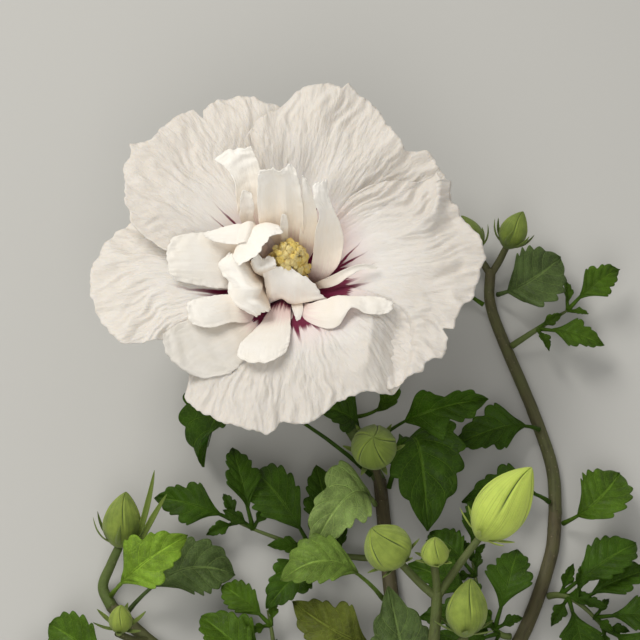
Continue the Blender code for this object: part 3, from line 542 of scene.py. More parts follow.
# Each petaloid, a stamen grown out into a small petal: rows of points from its foot to its rim, in
# millimetres from the place where the petals meet
petaloids = {
    "left_under": [
        [(-2.8, -1, 6.5), (-2.8, -1.4, 6.5), (-2.7, -1.8, 6.5), (-2.5, -2.2, 6.5), (-2.3, -2.5, 6.5)],
        [(-11.4, -10.9, 18), (-10.3, -12.7, 18), (-9.2, -14, 17.5),
         (-8.1, -15.4, 17.5), (-7.3, -16.9, 17.5)],
        [(-20.7, -16.1, 22.2), (-18, -18, 22), (-15.2, -20.6, 21.8),
         (-12.3, -23.5, 21.7), (-9.8, -25.6, 21.3)],
        [(-28.1, -17.9, 23.7), (-26.4, -21.6, 23.4), (-23.4, -25.2, 22.6),
         (-18.6, -28.7, 21.8), (-12.9, -30.6, 21.4)],
        [(-33.6, -21.9, 24.7), (-33.2, -26.4, 23.6), (-29.4, -30.8, 22),
         (-23.2, -33.5, 21), (-14.8, -32.3, 21.3)],
    ],
    "left_broad": [
        [(-2.6, 1.4, 7), (-3, 0.9, 7), (-3.1, 0.3, 7), (-3, -0.4, 7)],
        [(-10.7, 5.4, 21), (-10.7, 2.5, 19.5), (-10.7, -1.5, 19), (-11.2, -5.2, 18.5)],
        [(-17.2, 6.5, 25), (-17.4, 1.9, 24.6), (-17.6, -3.2, 24), (-17, -8.4, 22.3)],
        [(-24.2, 7.3, 26.5), (-24.3, 1.5, 26.7), (-24.5, -3.6, 26), (-24, -8.1, 23.8)],
        [(-31.7, 5.5, 27), (-32.9, 0.5, 27.4), (-32.6, -4, 26.9), (-30.7, -7.1, 25.2)],
    ],
    "left_narrow": [
        [(-2.6, 2, 11), (-3, 1.6, 11), (-3.2, 1, 11)],
        [(-8.9, 7.4, 30), (-9.4, 4.4, 30.6), (-10.4, 1.4, 30)],
        [(-13.2, 7.6, 30.5), (-13.7, 4.6, 30.8), (-14.5, 1.4, 30)],
        [(-18.1, 6.9, 29.8), (-18.3, 4.5, 30), (-18.6, 2.3, 29.4)],
        [(-22.4, 5.8, 28.6), (-22.8, 4.9, 28.6), (-22.1, 3.9, 28.2)],
    ],
    "hood": [
        [(-1.2, 2.6, 9), (-2, 2.4, 9), (-2.6, 2, 9), (-3, 1.4, 9), (-3.2, 0.8, 9)],
        [(-1.5, 6, 20), (-4.5, 6.5, 20), (-7.5, 5.5, 20), (-10, 3.5, 19.5), (-12, 0.5, 19)],
        [(-2.4, 6.9, 30), (-6.5, 7.6, 30.5), (-10.5, 6, 30), (-13.5, 2.5, 29), (-15.2, -0.9, 27.4)],
        [(-1.8, 5.2, 32), (-5.2, 4.8, 32.6), (-8.4, 2.4, 32.2), (-11.2, -0.6, 31), (-14.5, -3.5, 29)],
        [(-1.4, 3.6, 32.8), (-4.2, 2.4, 33.8), (-6.5, -0.2, 33.6), (-9, -2.9, 32.4), (-13.5, -5.2, 30)],
    ],
    "cup": [
        [(-2.6, 0.6, 8), (-2.8, 0.2, 8), (-2.9, -0.2, 8), (-2.9, -0.7, 8),
         (-2.8, -1.1, 8), (-2.6, -1.5, 8), (-2.4, -1.9, 8), (-2, -2.3, 8)],
        [(-9.6, 0.6, 21), (-8.8, 0.3, 18.5), (-8.3, -0.8, 17.5), (-7.5, -2.1, 17),
         (-6.9, -3, 16.5), (-6.6, -4.2, 16.5), (-6.1, -5.5, 16), (-5.5, -7.1, 15.5)],
        [(-12.4, -1.1, 26.5), (-11.4, -3.2, 26.4), (-10.5, -5.4, 26), (-9.1, -7.7, 25.6),
         (-7.5, -9.7, 25.8), (-8.2, -11.4, 24.2), (-6.7, -13, 23.2), (-4.7, -14.3, 21.6)],
        [(-14.3, -0.6, 28), (-14.8, -3.4, 27.6), (-13.9, -5.8, 27), (-12.8, -8.3, 27.2),
         (-11.5, -10.4, 27.2), (-11.2, -12.5, 25.4), (-8.8, -14, 24.8), (-6.4, -15.3, 22.4)],
        [(-15.7, 1.4, 26.8), (-18.5, -1.6, 25.6), (-18.6, -3.9, 24.8), (-16.7, -6.5, 24.6),
         (-16.3, -9.3, 23.6), (-15.1, -12.6, 23), (-11.5, -15, 22.8), (-8.3, -16.3, 21.4)],
    ],
    "front": [
        [(-2.2, -1.8, 8), (-1.6, -2.2, 8), (-0.8, -2.5, 8), (0, -2.6, 8), (0.8, -2.5, 8), (1.6, -2.2, 8)],
        [(-4.5, -4.5, 11.5), (-3.4, -5, 11.5), (-2, -5.4, 11.5),
         (0, -5.6, 11.5), (2.8, -5.2, 12), (6.2, -4.6, 12.8)],
        [(-5.5, -9.2, 15.5), (-3.9, -9, 16.5), (-1.9, -9.1, 18.3),
         (0.4, -10.1, 17.3), (4.8, -9.9, 17.9), (10.6, -9.2, 18.8)],
        [(-6.3, -7.6, 18.7), (-4.6, -8.7, 19.8), (-2.2, -8.6, 20.7),
         (0.7, -9.4, 20.5), (4.6, -9.3, 20.2), (9.8, -9, 20)],
        [(-6.8, -5.6, 22), (-4.8, -6.6, 23.5), (-2.1, -6.6, 24.2),
         (1, -7.1, 24), (4.4, -7.9, 22.8), (8.6, -8.4, 21.2)],
        [(-7.3, -3.9, 25.5), (-5.1, -3.9, 26.6), (-2.1, -3.4, 27),
         (1, -4.2, 26.5), (4.1, -5.6, 25), (7.5, -7.6, 22.4)],
    ],
    "front_small": [
        [(-2.6, -0.4, 10), (-2.3, -0.9, 10), (-1.9, -1.3, 10), (-1.4, -1.7, 10)],
        [(-9.8, -1.8, 23.5), (-8.4, -3.7, 22.5), (-6, -4, 23), (-3.2, -3.2, 24.5)],
        [(-10.1, -2.1, 27.4), (-8.8, -4.6, 27), (-6.1, -4.9, 27.6), (-3.3, -3.9, 28)],
        [(-9.6, -1.6, 28.8), (-8, -3.6, 28.2), (-5.8, -3.8, 28.8), (-3.4, -2.9, 29)],
        [(-8.6, -0.4, 28.8), (-7.2, -1.4, 27.8), (-5.9, -1.5, 28.2), (-4, -1.2, 28.6)],
    ],
    "back_left": [
        [(-2.6, 2, 8), (-2.3, 2.3, 8), (-2, 2.5, 8), (-1.6, 2.7, 8)],
        [(-12.9, 11.7, 23), (-11.3, 12.5, 22), (-9.4, 13, 21.6), (-7.2, 13.4, 21.5)],
        [(-14.5, 15.8, 26.5), (-12.6, 17, 26), (-10.2, 17.8, 25.6), (-7.2, 17.9, 26)],
        [(-15, 20.5, 29.2), (-13.4, 21.6, 28.7), (-11, 23, 28.4), (-7.4, 23.2, 28.6)],
        [(-17.4, 24.2, 30.7), (-15.3, 25.5, 31.2), (-12.3, 26.8, 30.9), (-8.7, 27.3, 30.5)],
        [(-20.6, 26.1, 31.2), (-17.3, 28.9, 32.2), (-13.3, 29.4, 32.6), (-10.4, 30.2, 32.2)],
    ],
    "back_lobe": [
        [(-2.8, 2, 8), (-2.4, 2.4, 8), (-1.8, 2.7, 8)],
        [(-12.6, 10, 24), (-11, 10.6, 23.5), (-9.1, 10.6, 24)],
        [(-13.3, 13, 29), (-11.4, 13.6, 28.5), (-9.3, 13.6, 29)],
        [(-13.4, 15, 31.6), (-11.9, 16.1, 32.6), (-10, 15.5, 32)],
    ],
    "back_tall": [
        [(-1.5, 2.6, 8), (-0.9, 2.9, 8), (-0.3, 3, 8), (0.3, 3, 8), (0.9, 2.9, 8), (1.5, 2.6, 8)],
        [(-7.4, 6.7, 24), (-5.2, 7.2, 23), (-3.1, 7.7, 22),
         (-0.9, 7.4, 22.6), (1.3, 7.7, 22), (3.8, 6.6, 23.5)],
        [(-8.6, 10.5, 30.5), (-6, 10.8, 29.8), (-3.3, 11.4, 28.6),
         (-0.8, 10.9, 29.6), (1.6, 11.3, 28.8), (4.3, 10.1, 30)],
        [(-8.7, 13.7, 36), (-6.1, 14.3, 35.5), (-3.5, 15.1, 33.8),
         (-1, 14.4, 35.3), (1.4, 14.4, 34.6), (3.7, 13.4, 35.4)],
        [(-8.4, 16.5, 40), (-6.1, 16.9, 39.6), (-3.7, 17.3, 38.5),
         (-1.3, 16.9, 39.8), (0.9, 16.9, 39.2), (2.8, 16, 39.3)],
        [(-7.9, 17.8, 41.6), (-5.9, 17.9, 42), (-4.2, 18.4, 42.4),
         (-2, 17.7, 41.8), (0.4, 19.3, 42.8), (2.2, 17.9, 41.4)],
    ],
    "back_right": [
        [(1.2, 2.6, 9), (2, 2.4, 9), (2.6, 2, 9)],
        [(2.4, 5.2, 21.5), (4.8, 5.4, 21), (7.3, 5.2, 21.5)],
        [(3, 9.1, 27.2), (5.4, 9.2, 27), (7.9, 9.4, 27.8)],
        [(3.5, 12.3, 31.6), (5.4, 12, 32.2), (7.3, 12, 32.3)],
        [(3.6, 14.5, 36.2), (4.8, 14.4, 37), (6.1, 14.6, 36)],
        [(3.4, 16.9, 39.8), (4, 17, 40.3), (4.8, 16.4, 39.4)],
    ],
    "back_small": [
        [(-0.4, 2.4, 13), (0, 2.6, 13), (0.4, 2.4, 13)],
        [(-2.2, 6.3, 26), (-1.2, 6.4, 25.8), (-0.2, 6.3, 26)],
        [(-2.4, 7.9, 29), (-1.3, 8, 28.8), (-0.1, 7.9, 29)],
        [(-2, 9.3, 31.6), (-1.3, 9.7, 32), (-0.6, 9.3, 31.6)],
    ],
    "right_tall": [
        [(2.4, 1.4, 7), (3, 0.8, 7), (3.3, 0, 7), (3.2, -0.8, 7)],
        [(5.4, -0.3, 16.5), (7.3, -1, 15.3), (10, -1.9, 16), (12.5, -1, 19.3)],
        [(6.5, 3.3, 23), (8.7, 3.5, 21.8), (11.9, 3.6, 22.3), (14.9, 4.3, 24.6)],
        [(7, 6.3, 28), (8.9, 7.1, 26.8), (11.7, 7.2, 27.4), (14.2, 7.6, 29)],
        [(8.1, 8.6, 33), (9.5, 9.7, 32.6), (10.8, 9.9, 32.8), (12.4, 9.9, 33.4)],
        [(6.7, 11.3, 36.6), (8.1, 11.6, 37.2), (9.7, 12, 37), (11, 12.3, 36.4)],
        [(6.4, 14.3, 39.4), (7.6, 14.8, 40.4), (8.9, 15.2, 40.8), (10.4, 15.9, 39.8)],
    ],
    "right_ribbon": [
        [(2.6, -0.6, 7), (3, -1, 7), (3, -1.6, 7)],
        [(6.8, -3.6, 16.5), (7.3, -4.5, 16.5), (7.9, -5.2, 16)],
        [(11.4, -3.7, 21.4), (11.9, -4.7, 20.8), (12.5, -6.3, 20.4)],
        [(15.4, -2.8, 24), (16.3, -3.3, 23.6), (16.5, -4.8, 23.5)],
        [(19.5, -1.9, 25), (19.8, -2.3, 24.5), (19.8, -3.2, 24)],
        [(23, -2, 24.8), (23.8, -2.4, 24.5), (23.3, -3, 24.2)],
    ],
    "right_low": [
        [(2.2, -2, 7), (2.2, -2.4, 7), (2, -2.8, 7), (1.8, -3.2, 7)],
        [(4.6, -9.9, 17), (4.1, -11.5, 17.3), (3.8, -13.1, 17.5), (3.5, -14.2, 17.3)],
        [(8.9, -10.3, 20.3), (8.9, -13.5, 21.2), (8.9, -16.6, 21.5), (8.9, -19, 20.8)],
        [(13, -10.2, 22.7), (13.5, -13.8, 23.7), (13.8, -16.9, 24), (13.2, -19.5, 22.7)],
        [(17, -10.8, 23.7), (17, -12.7, 24.6), (16.9, -14.2, 25.2), (16.7, -15.1, 25.4)],
        [(20.8, -11.1, 24.3), (20.8, -13.1, 24.9), (20.7, -15.1, 25.2), (20.6, -16.6, 25)],
        [(24.5, -11.6, 24.7), (24.5, -13.5, 25.1), (24.5, -15.3, 25.2), (24.2, -16.9, 24.8)],
        [(27.2, -12.7, 24.8), (28, -13.7, 24.9), (27.9, -14.9, 24.8), (26.9, -16.3, 24.6)],
    ],
    "low_tongue": [
        [(0.6, -2.9, 9), (0.9, -3, 9), (1.2, -2.9, 9)],
        [(0.5, -9.7, 16), (2, -9.6, 16.5), (3.5, -9.3, 16.5)],
        [(1.1, -12.8, 17.5), (2.4, -13, 18), (3.8, -12.5, 17.5)],
        [(2, -15.5, 18.3), (2.4, -16, 18.4), (3, -15.5, 18.3)],
    ],
    "low_strip": [
        [(1, -2.8, 7), (1.3, -2.8, 7), (1.6, -2.7, 7)],
        [(0.2, -12, 15.7), (0.6, -11.9, 16), (1, -11.7, 15.7)],
        [(0.3, -18.9, 18.7), (1.1, -18.8, 19), (1.9, -18.5, 18.7)],
        [(1.8, -24.6, 20.9), (2.5, -25.4, 21), (3.2, -24.7, 20.9)],
    ],
    "low": [
        [(-1.2, -2.8, 7), (-0.6, -3, 7), (0, -3, 7), (0.6, -3, 7), (1.2, -2.8, 7)],
        [(-4.8, -10.3, 15.9), (-3.5, -9.4, 15.9), (-2.1, -8.9, 16.1),
         (-0.7, -9.4, 15.9), (0.5, -10.3, 15.9)],
        [(-8.1, -17.7, 19.9), (-5.9, -17.8, 20.2), (-3.7, -17.6, 20.4),
         (-1.3, -17.2, 20.2), (0.6, -16.8, 19.8)],
        [(-13, -24.3, 22.9), (-9.8, -24.8, 23.5), (-6.3, -25, 23.8),
         (-2.6, -24.3, 23.5), (0.6, -23.4, 22.8)],
        [(-14, -28.5, 24), (-11, -30.6, 24.8), (-7.3, -31, 25), (-3.3, -29.8, 24.8), (-0.4, -27, 23.8)],
    ],
    "left_low": [
        [(-2.8, -1.4, 7), (-2.8, -1.8, 7), (-2.6, -2.2, 7), (-2.4, -2.6, 7)],
        [(-10.6, -9.6, 20.3), (-10.6, -11.5, 19.9), (-10.5, -13.7, 19.5), (-10, -16, 18.7)],
        [(-16.4, -10, 23.3), (-16.4, -12.9, 23.8), (-16.3, -15.9, 23.8), (-15.5, -18.6, 23.2)],
        [(-21.7, -11.4, 25), (-21.9, -14.6, 25.6), (-21.6, -18, 25.8), (-20.8, -21, 25)],
        [(-26.5, -13.1, 25.8), (-27.2, -15.2, 26.2), (-26.9, -17.7, 26.2), (-25.3, -20.1, 25.4)],
    ],
}
petaloidLook = {
    "thickness": 0.22,
    "rows": 70,
    "columns": 50,
    "frill": 0.04,  # of its width, on its sides
    "notch": 0.8,  # at its tip
    "flutter": 0.4,
    "veins": 0.1,
    "ripple": {"left_under": 0.6, "back_left": 0.5, "right_low": 0.4, "cup": 0.3, "back_tall": 0.3,
               "right_tall": 0.3, "left_broad": 0.3, "hood": 0.06, "front": 0.3, "left_narrow": 0.1,
               "back_lobe": 0.35},
    # painted light and shade: each petaloid's white, made darker where it should look shaded and lighter
    # where it should look lit
    "paintedLight": {"left_under": 0.76, "low": 0.93, "left_broad": 0.90, "left_low": 0.95, "right_low": 0.93,
             "right_ribbon": 0.93, "back_left": 1.03, "front_small": 1.08, "front": 1.08,
             "back_tall": 1.08, "back_right": 1.08, "back_lobe": 1.06, "back_small": 1.08,
             "right_tall": 1.10},
    "flush": {"cup": 0.7, "hood": 0.7, "front": 0.6, "front_small": 0.5, "left_narrow": 0.2,
              "right_low": 0.15},
    "crimson": {"low": 0.37, "low_strip": 0.38, "low_tongue": 0.2, "left_low": 0.22, "left_under": 0.24},
    "usual": {"ripple": 0.2, "paintedLight": 1.0, "flush": 0.35, "crimson": 0.1},  # where the lists above name none
}


def makePetaloid(name, net):
    look = petaloidLook
    columns = [[Vector(point) for point in column] for column in zip(*net)]
    seed = 3.7 * len(name) + len(columns)
    middle = columns[len(columns) // 2]
    halfWay = [column[len(column) // 2] for column in columns]
    length, width = (sum((b - a).length for a, b in zip(line, line[1:])) for line in (middle, halfWay))
    ripple, paintedLight, flush, crimson = (look[key].get(name, usual) for key, usual in look["usual"].items())
    tipward = (middle[-1] - middle[-2]).normalized()

    @cache
    def rowAt(t):
        return [splinePoint(column, t) for column in columns]

    def place(a, t):
        frill = wave(t * length / 2.2, seed + math.copysign(5, a)) + 0.5 * wave(t * length, seed)
        share = (a * (1 - look["frill"] * (1 + frill)) + 1) / 2
        notch = wave(a * width / 3.4, seed) + 0.35 * wave(a * width / 1.7, seed + 2)
        return bloom["foot"] + splinePoint(rowAt(t), share) + tipward * notch * look["notch"] * t**6

    def relief(a, t):
        x, y = a * width / 2, t * length
        fine = crest(x + 1.2 * wave(x / 3, y / 7, seed), y / 14, seed) - 0.5
        rim = max(smoothStep(0.7, 1, abs(a)), smoothStep(0.85, 1, t))
        flutter = look["flutter"] * rim * t * wave(x / 1.6, y / 1.6, seed + 4)
        return look["veins"] * fine * t + ripple * t * wave(x / 3.5, y / 3.5, seed) + flutter

    form = gridForm(look["rows"], look["columns"], place, relief)
    finish = petaloidFinish("petaloid_" + name, crimson, len(name) * 1.3, paintedLight, flush)
    thicken(newPiece("petaloid_" + name, form, finish, ["bloom"]), look["thickness"])


# A pillar is the heights of its points over the bloom's foot, its radius at stops along it, and its sides
stamens = {
    "heights": (18.2, 30.4),
    "count": 190,
    "size": 0.98,
    "spread": 5.0,
    "scatter": ((-0.8, 0.7), (-0.8, 0.8), (0.72, 1.22), (0, 6.3)),  # way out, height, size, spin
    "anther": (1.12, 0.8, 0.66),  # a round ball's stretch
    "groove": 0.35,
    "droop": 0.28,
    "threads": (0.22, 0.14),
    "threadFoot": 1.8,  # how far out it is, and how far under its anther
    "column": ((3, 8, 12, 16, 20, 23, 25, 26.5), [(0, 2.2), (0.5, 2.5), (0.8, 2.3), (1, 0.6)], 24),
    "core": ((-12.8, -9, -6, -3, 0, 2, 4, 6, 7.5, 9, 10),
             [(0, 2.5), (0.2, 3.0), (0.4, 3.7), (0.6, 4.6), (0.8, 4.6), (1, 2.6)], 32),
    "yellow": (1.0, 0.76, 0.22),
    "pale": (1.0, 0.84, 0.40),
    "deep": (0.92, 0.60, 0.15),
    "shader": {"Roughness": 0.8, "Subsurface Weight": 0.15, "Subsurface Radius": (1.0, 0.8, 0.3),
               "Subsurface Scale": 0.0008, "Specular IOR Level": 0.25},
}


def antherFinish():
    finish = Finish("anther", stamens["shader"])
    clumps = finish.noise(finish.place(), 420.0, 2.0, 0.5)
    grains = finish.node("ShaderNodeTexVoronoi", {}, {"Vector": finish.place(), "Scale": 5200.0})
    base = finish.blend(finish.step(0.38, 0.6, clumps), stamens["yellow"], stamens["pale"])
    finish.colour(finish.blend(finish.step(0.45, 0.65, grains) * 0.4, base, stamens["deep"]))
    finish.relief(1 - grains, 0.25)
    return finish.material


def antherForm(size, centre, lie):  # a plump bean, bent down at its ends, with a groove along its top
    form = bmesh.new()
    bmesh.ops.create_icosphere(form, subdivisions=2, radius=size)
    long, wide, tall = stamens["anther"]
    for vertex in form.verts:
        x, y, z = vertex.co
        groove = stamens["groove"] * size * math.exp(-((y / size) ** 2) * 9) * (1 if z > 0 else 0.4)
        bean = Vector((x * long, y * wide, z * tall - groove - stamens["droop"] * x * x / size))
        vertex.co = toFrame(centre + lie @ bean)
    return form


def pillarForm(heights, radii, sides):
    radiusAt = softCurve(radii)
    return tubeForm([bloom["foot"] + up * height for height in heights], lambda t, turn: radiusAt(t), sides)


def makeStamens():
    scatter = random.Random(5)
    anthers, threads = bmesh.new(), bmesh.new()
    for index in range(stamens["count"]):
        share = (index + 0.5) / stamens["count"]
        angle = index * goldenAngle
        away = Vector((math.cos(angle), math.sin(angle), 0))
        outward, upward, growth, spin = (scatter.uniform(*span) for span in stamens["scatter"])
        out = stamens["spread"] * math.sqrt(max(0, 1 - share**2.2)) + outward
        height = mix(*stamens["heights"], share) + upward
        centre = bloom["foot"] + away * out + up * height
        tipped = (away + up * (0.4 + share)).to_track_quat("Z", "Y").to_matrix()
        lie = tipped @ Matrix.Rotation(spin, 3, "Z")
        addTo(anthers, antherForm(stamens["size"] * growth, centre, lie))
        root = bloom["foot"] + away * stamens["threadFoot"] + up * (height - stamens["threadFoot"])
        line = [root.lerp(centre, step / 3) for step in range(4)]
        addTo(threads, tubeForm(line, lambda t, turn: mix(*stamens["threads"], t), 6))
    bmesh.ops.recalc_face_normals(anthers, faces=anthers.faces)
    newPiece("anthers", anthers, antherFinish(), ["bloom"])
    addTo(threads, pillarForm(*stamens["column"]))
    newPiece("filaments", threads, petaloidFinish("filament", 0.0, 40.0), ["bloom"])
    body = pillarForm(*stamens["core"])
    newPiece("bloom_core", body, petaloidFinish("core", 0.0, 50.0), ["bloom"])


sepalLook = {
    "green": (0.145, 0.205, 0.022),
    "pale": (0.50, 0.62, 0.10),
    "dark": (0.045, 0.08, 0.008),
    "shader": {"Roughness": 0.6, "Subsurface Weight": 0.15, "Subsurface Radius": (0.6, 1.0, 0.3),
               "Subsurface Scale": 0.001, "Sheen Weight": 0.12, "Sheen Roughness": 0.6,
               "Specular IOR Level": 0.3},
}


def sepalFinish(name, tint, seed, seams=0.0):  # downy green, paler on the ribs. tint makes it paler
    look = sepalLook
    finish = Finish(name, look["shader"])
    across, along = finish.sheetPlace()
    mottle = finish.noise(finish.place(), 260.0, 4.0, 0.6)
    base = finish.blend(tint + (mottle - 0.5) * 0.8, look["green"], look["pale"])
    foot = 1 - finish.step(0.0, 0.35, along)
    base = finish.blend(foot * 0.35, base, look["dark"])
    ribs = finish.noise(finish.join(across * 14 + seed, along * 1.2, 0.0), 1.0, 2.0, 0.5)
    base = finish.blend(finish.step(0.5, 0.62, ribs) * 0.22, base, look["dark"])
    if seams:  # dark where two sepals meet, pale beside it
        off = finish.maths("ABSOLUTE", across)
        near = finish.step(0.3, 0.65, along) * seams
        base = finish.blend((1 - finish.step(0.12, 0.5, off)) * near * 0.22, base, look["pale"])
        base = finish.blend((1 - finish.step(0.03, 0.15, off)) * near, base, look["dark"])
    finish.colour(base)
    down = finish.noise(finish.place(), 2600.0, 3.0, 0.7)
    finish.relief(down * 0.4 + ribs * 0.6, 0.3)
    return finish.material


bracts = {"width": 1.5, "hollow": 0.45, "thickness": 0.5, "rows": 22, "columns": 6}
bractOutline = softCurve([(0, 0.8), (0.3, 1.0), (0.55, 1), (0.8, 0.7), (0.94, 0.35), (1, 0.06)])


def strap(rib, width, hollow, curve=0.0):  # a narrow leaf along a curve, hollow across
    def place(a, t):
        point, heading, side = rib(t)
        half = width / 2 * bractOutline(t)
        return point + side * (half * a + curve * t * t) + side.cross(heading) * half * hollow * a * a

    return place


def bract(start, out, rise, tipRise, length, curve):  # a strap that bends up from its foot
    first = out * math.cos(math.radians(rise)) + up * math.sin(math.radians(rise))
    last = out * math.cos(math.radians(tipRise)) + up * math.sin(math.radians(tipRise))
    rib = midrib(start, start + (first * 0.375 + last * 0.125) * length, start + (first + last) / 2 * length)
    return strap(rib, bracts["width"], bracts["hollow"], curve)


def bractForm(place, turn=Vector):
    form = gridForm(bracts["rows"], bracts["columns"], lambda a, t: turn(place(a, t)))
    return fillOut(form, bracts["thickness"])


def bractRing(count, offset, radius, height, rise, tipRise, length, curve, sway, turn=Vector):
    straps = bmesh.new()
    for index in range(count):
        angle = math.tau * (index + offset) / count
        out = Vector((math.cos(angle), math.sin(angle), 0))
        place = bract(out * radius + up * height, out, rise, tipRise, length, curve * sway**index)
        addTo(straps, bractForm(place, turn))
    return straps


calyx = {
    "floor": 9.7,
    "wall": [(0, 3.2, 0.6), (0.25, 4.4, 4.5), (0.55, 5.1, 10.5), (0.8, 5.9, 15.5), (1, 8.3, 16.5)],
    "tipRise": 7.0,
    "thickness": 0.7,
    "rows": 40,
    "columns": 120,
    "rib": 0.35,
    "seam": 0.3,
    "bottom": 12.0,  # an opening that lies lower than this is closed
    "bracts": {"count": 7, "offset": 0.3, "radius": 3.6, "height": 12.1, "rise": 15, "tipRise": 70,
               "length": 13, "curve": 0.5, "sway": 1},
}


def makeCalyx():
    radiusAt = softCurve([(t, radius) for t, radius, _ in calyx["wall"]])
    heightAt = softCurve([(t, height) for t, _, height in calyx["wall"]])

    def cup(a, t):
        turn = math.pi * (a + 1)
        lobe = abs(math.cos(2.5 * turn)) ** 0.8
        seam = math.exp(-((math.cos(2.5 * turn) / 0.16) ** 2))  # between two sepals
        rib = math.exp(-((math.sin(2.5 * turn) / 0.14) ** 2))  # down the middle of one
        radius = radiusAt(t) + calyx["rib"] * rib * smoothStep(0.1, 0.6, t) - calyx["seam"] * seam
        height = calyx["floor"] + heightAt(t) + calyx["tipRise"] * lobe * smoothStep(0.45, 1, t)
        return Vector((radius * math.cos(turn), radius * math.sin(turn), height))

    form = gridForm(calyx["rows"], calyx["columns"], cup)
    closeRing(form, calyx["bottom"] * mm)
    cupPiece = newPiece("calyx_cup", form, sepalFinish("calyx_cup", 0.35, 1.0), ["bloom_calyx"])
    thicken(cupPiece, calyx["thickness"])
    straps = bractRing(**calyx["bracts"])
    newPiece("calyx_bracts", straps, sepalFinish("calyx_bracts", 0.15, 2.0), ["bloom_calyx"])


# Each bud: its foot, the way its tip points, its length and width, its bracts' length and the pitch of
# their tips, and how pale it is
buds = {
    "bud_centre": ((23.2, -47.0, 22.8), (-0.04, 0.0, 1.0), 13.0, 12.4, 9, 45, -0.06),
    "bud_left": ((-46.7, -69.4, 9.6), (0.10, 0.62, 0.40), 16.0, 10.5, 13, 80, 0.12),
    "bud_left_low": ((-45.6, -93.2, 9.4), (0.05, 0.45, 0.60), 9.0, 6.5, 8, 45, 0.3),
    "bud_right_a": ((53.75, 20.6, 8.1), (-0.30, 0.70, 0.30), 12.0, 8.0, 10, 80, 0.0),
    "bud_right_b": ((61.9, 21.6, 9.6), (0.35, 0.62, 0.46), 12.0, 8.0, 10, 80, 0.05),
    "bud_front_a": ((29.5, -83.2, 38.0), (-0.55, 0.45, 0.70), 14.0, 12.6, 8, 30, 0.25),
    "bud_front_b": ((38.2, -84.6, 40.5), (0.00, 0.60, 0.70), 8.5, 7.4, 5, 30, 0.4),
    "bud_front_c": ((49.7, -77.4, 40.5), (0.55, 0.62, 0.50), 24.0, 14.0, 9, 35, 1.0),
    "bud_front_d": ((45.8, -100.9, 30.2), (0.12, 0.80, 0.52), 16.0, 10.8, 9, 35, 0.2),
}
budBracts = {"count": 6, "offset": 0.5, "radius": 0.8, "height": 1.2, "rise": 8, "curve": 0.8, "sway": -1}
# Further bracts that stand up straight: foot, middle and tip
uprightBracts = {
    "bud_left": [((-42.6, -70.0, 11.5), (-39.2, -61.5, 16.5), (-36.7, -51.2, 22.0)),
                 ((-42.0, -71.0, 11.5), (-38.2, -64.6, 15.5), (-33.3, -57.4, 20.0))],
}
uprightShape = {"width": 1.65, "hollow": 0.5}
budShape = {"twist": 0.5, "seam": 0.11, "bumps": 0.02, "tipFold": 0.05}


def makeBud(name, foot, heading, length, width, bractLength, bractPitch, tint):
    lie = Vector(heading).to_track_quat("Z", "Y").to_matrix()
    seed = length + width

    def turn(point):
        return Vector(foot) + lie @ Vector(point)

    form = bmesh.new()
    sheet = form.loops.layers.uv.new("UVMap")
    bmesh.ops.create_uvsphere(form, u_segments=110, v_segments=64, radius=1)
    for vertex in form.verts:
        x, y, z = vertex.co
        t = min(1, max(0, (z + 1) / 2))
        angle = math.atan2(y, x)
        twisted = angle + budShape["twist"] * t * t
        off = math.cos(2.5 * twisted)  # 0 where two sepals meet
        for loop in vertex.link_loops:
            loop[sheet].uv = ((off + 1) / 2, t)
        seam = math.exp(-((off * 5.5) ** 2)) - 0.55 * math.exp(-(((abs(off) - 0.33) * 5) ** 2))
        radius = width / 2 * math.sin(math.pi * t**0.8) ** 0.75 if 0 < t < 1 else 0
        radius *= 1 - budShape["seam"] * seam * smoothStep(0.35, 0.8, t)
        bumps = wave(2.5 * math.cos(twisted), 2.5 * math.sin(twisted), 3 * t + seed)
        radius *= 1 + budShape["bumps"] * bumps
        dip = math.exp(-((off * 4) ** 2)) * smoothStep(0.75, 1, t)
        tall = length * t - budShape["tipFold"] * width * dip
        vertex.co = toFrame(turn((radius * math.cos(angle), radius * math.sin(angle), tall)))
    newPiece(name + "_sepals", form, sepalFinish(name, tint, seed, 1.0), [name])
    straps = bractRing(**budBracts, tipRise=bractPitch, length=bractLength, turn=turn)
    for line in uprightBracts.get(name, ()):
        addTo(straps, bractForm(strap(midrib(*line), **uprightShape)))
    newPiece(name + "_bracts", straps, sepalFinish(name + "_bracts", tint - 0.3, seed), [name])


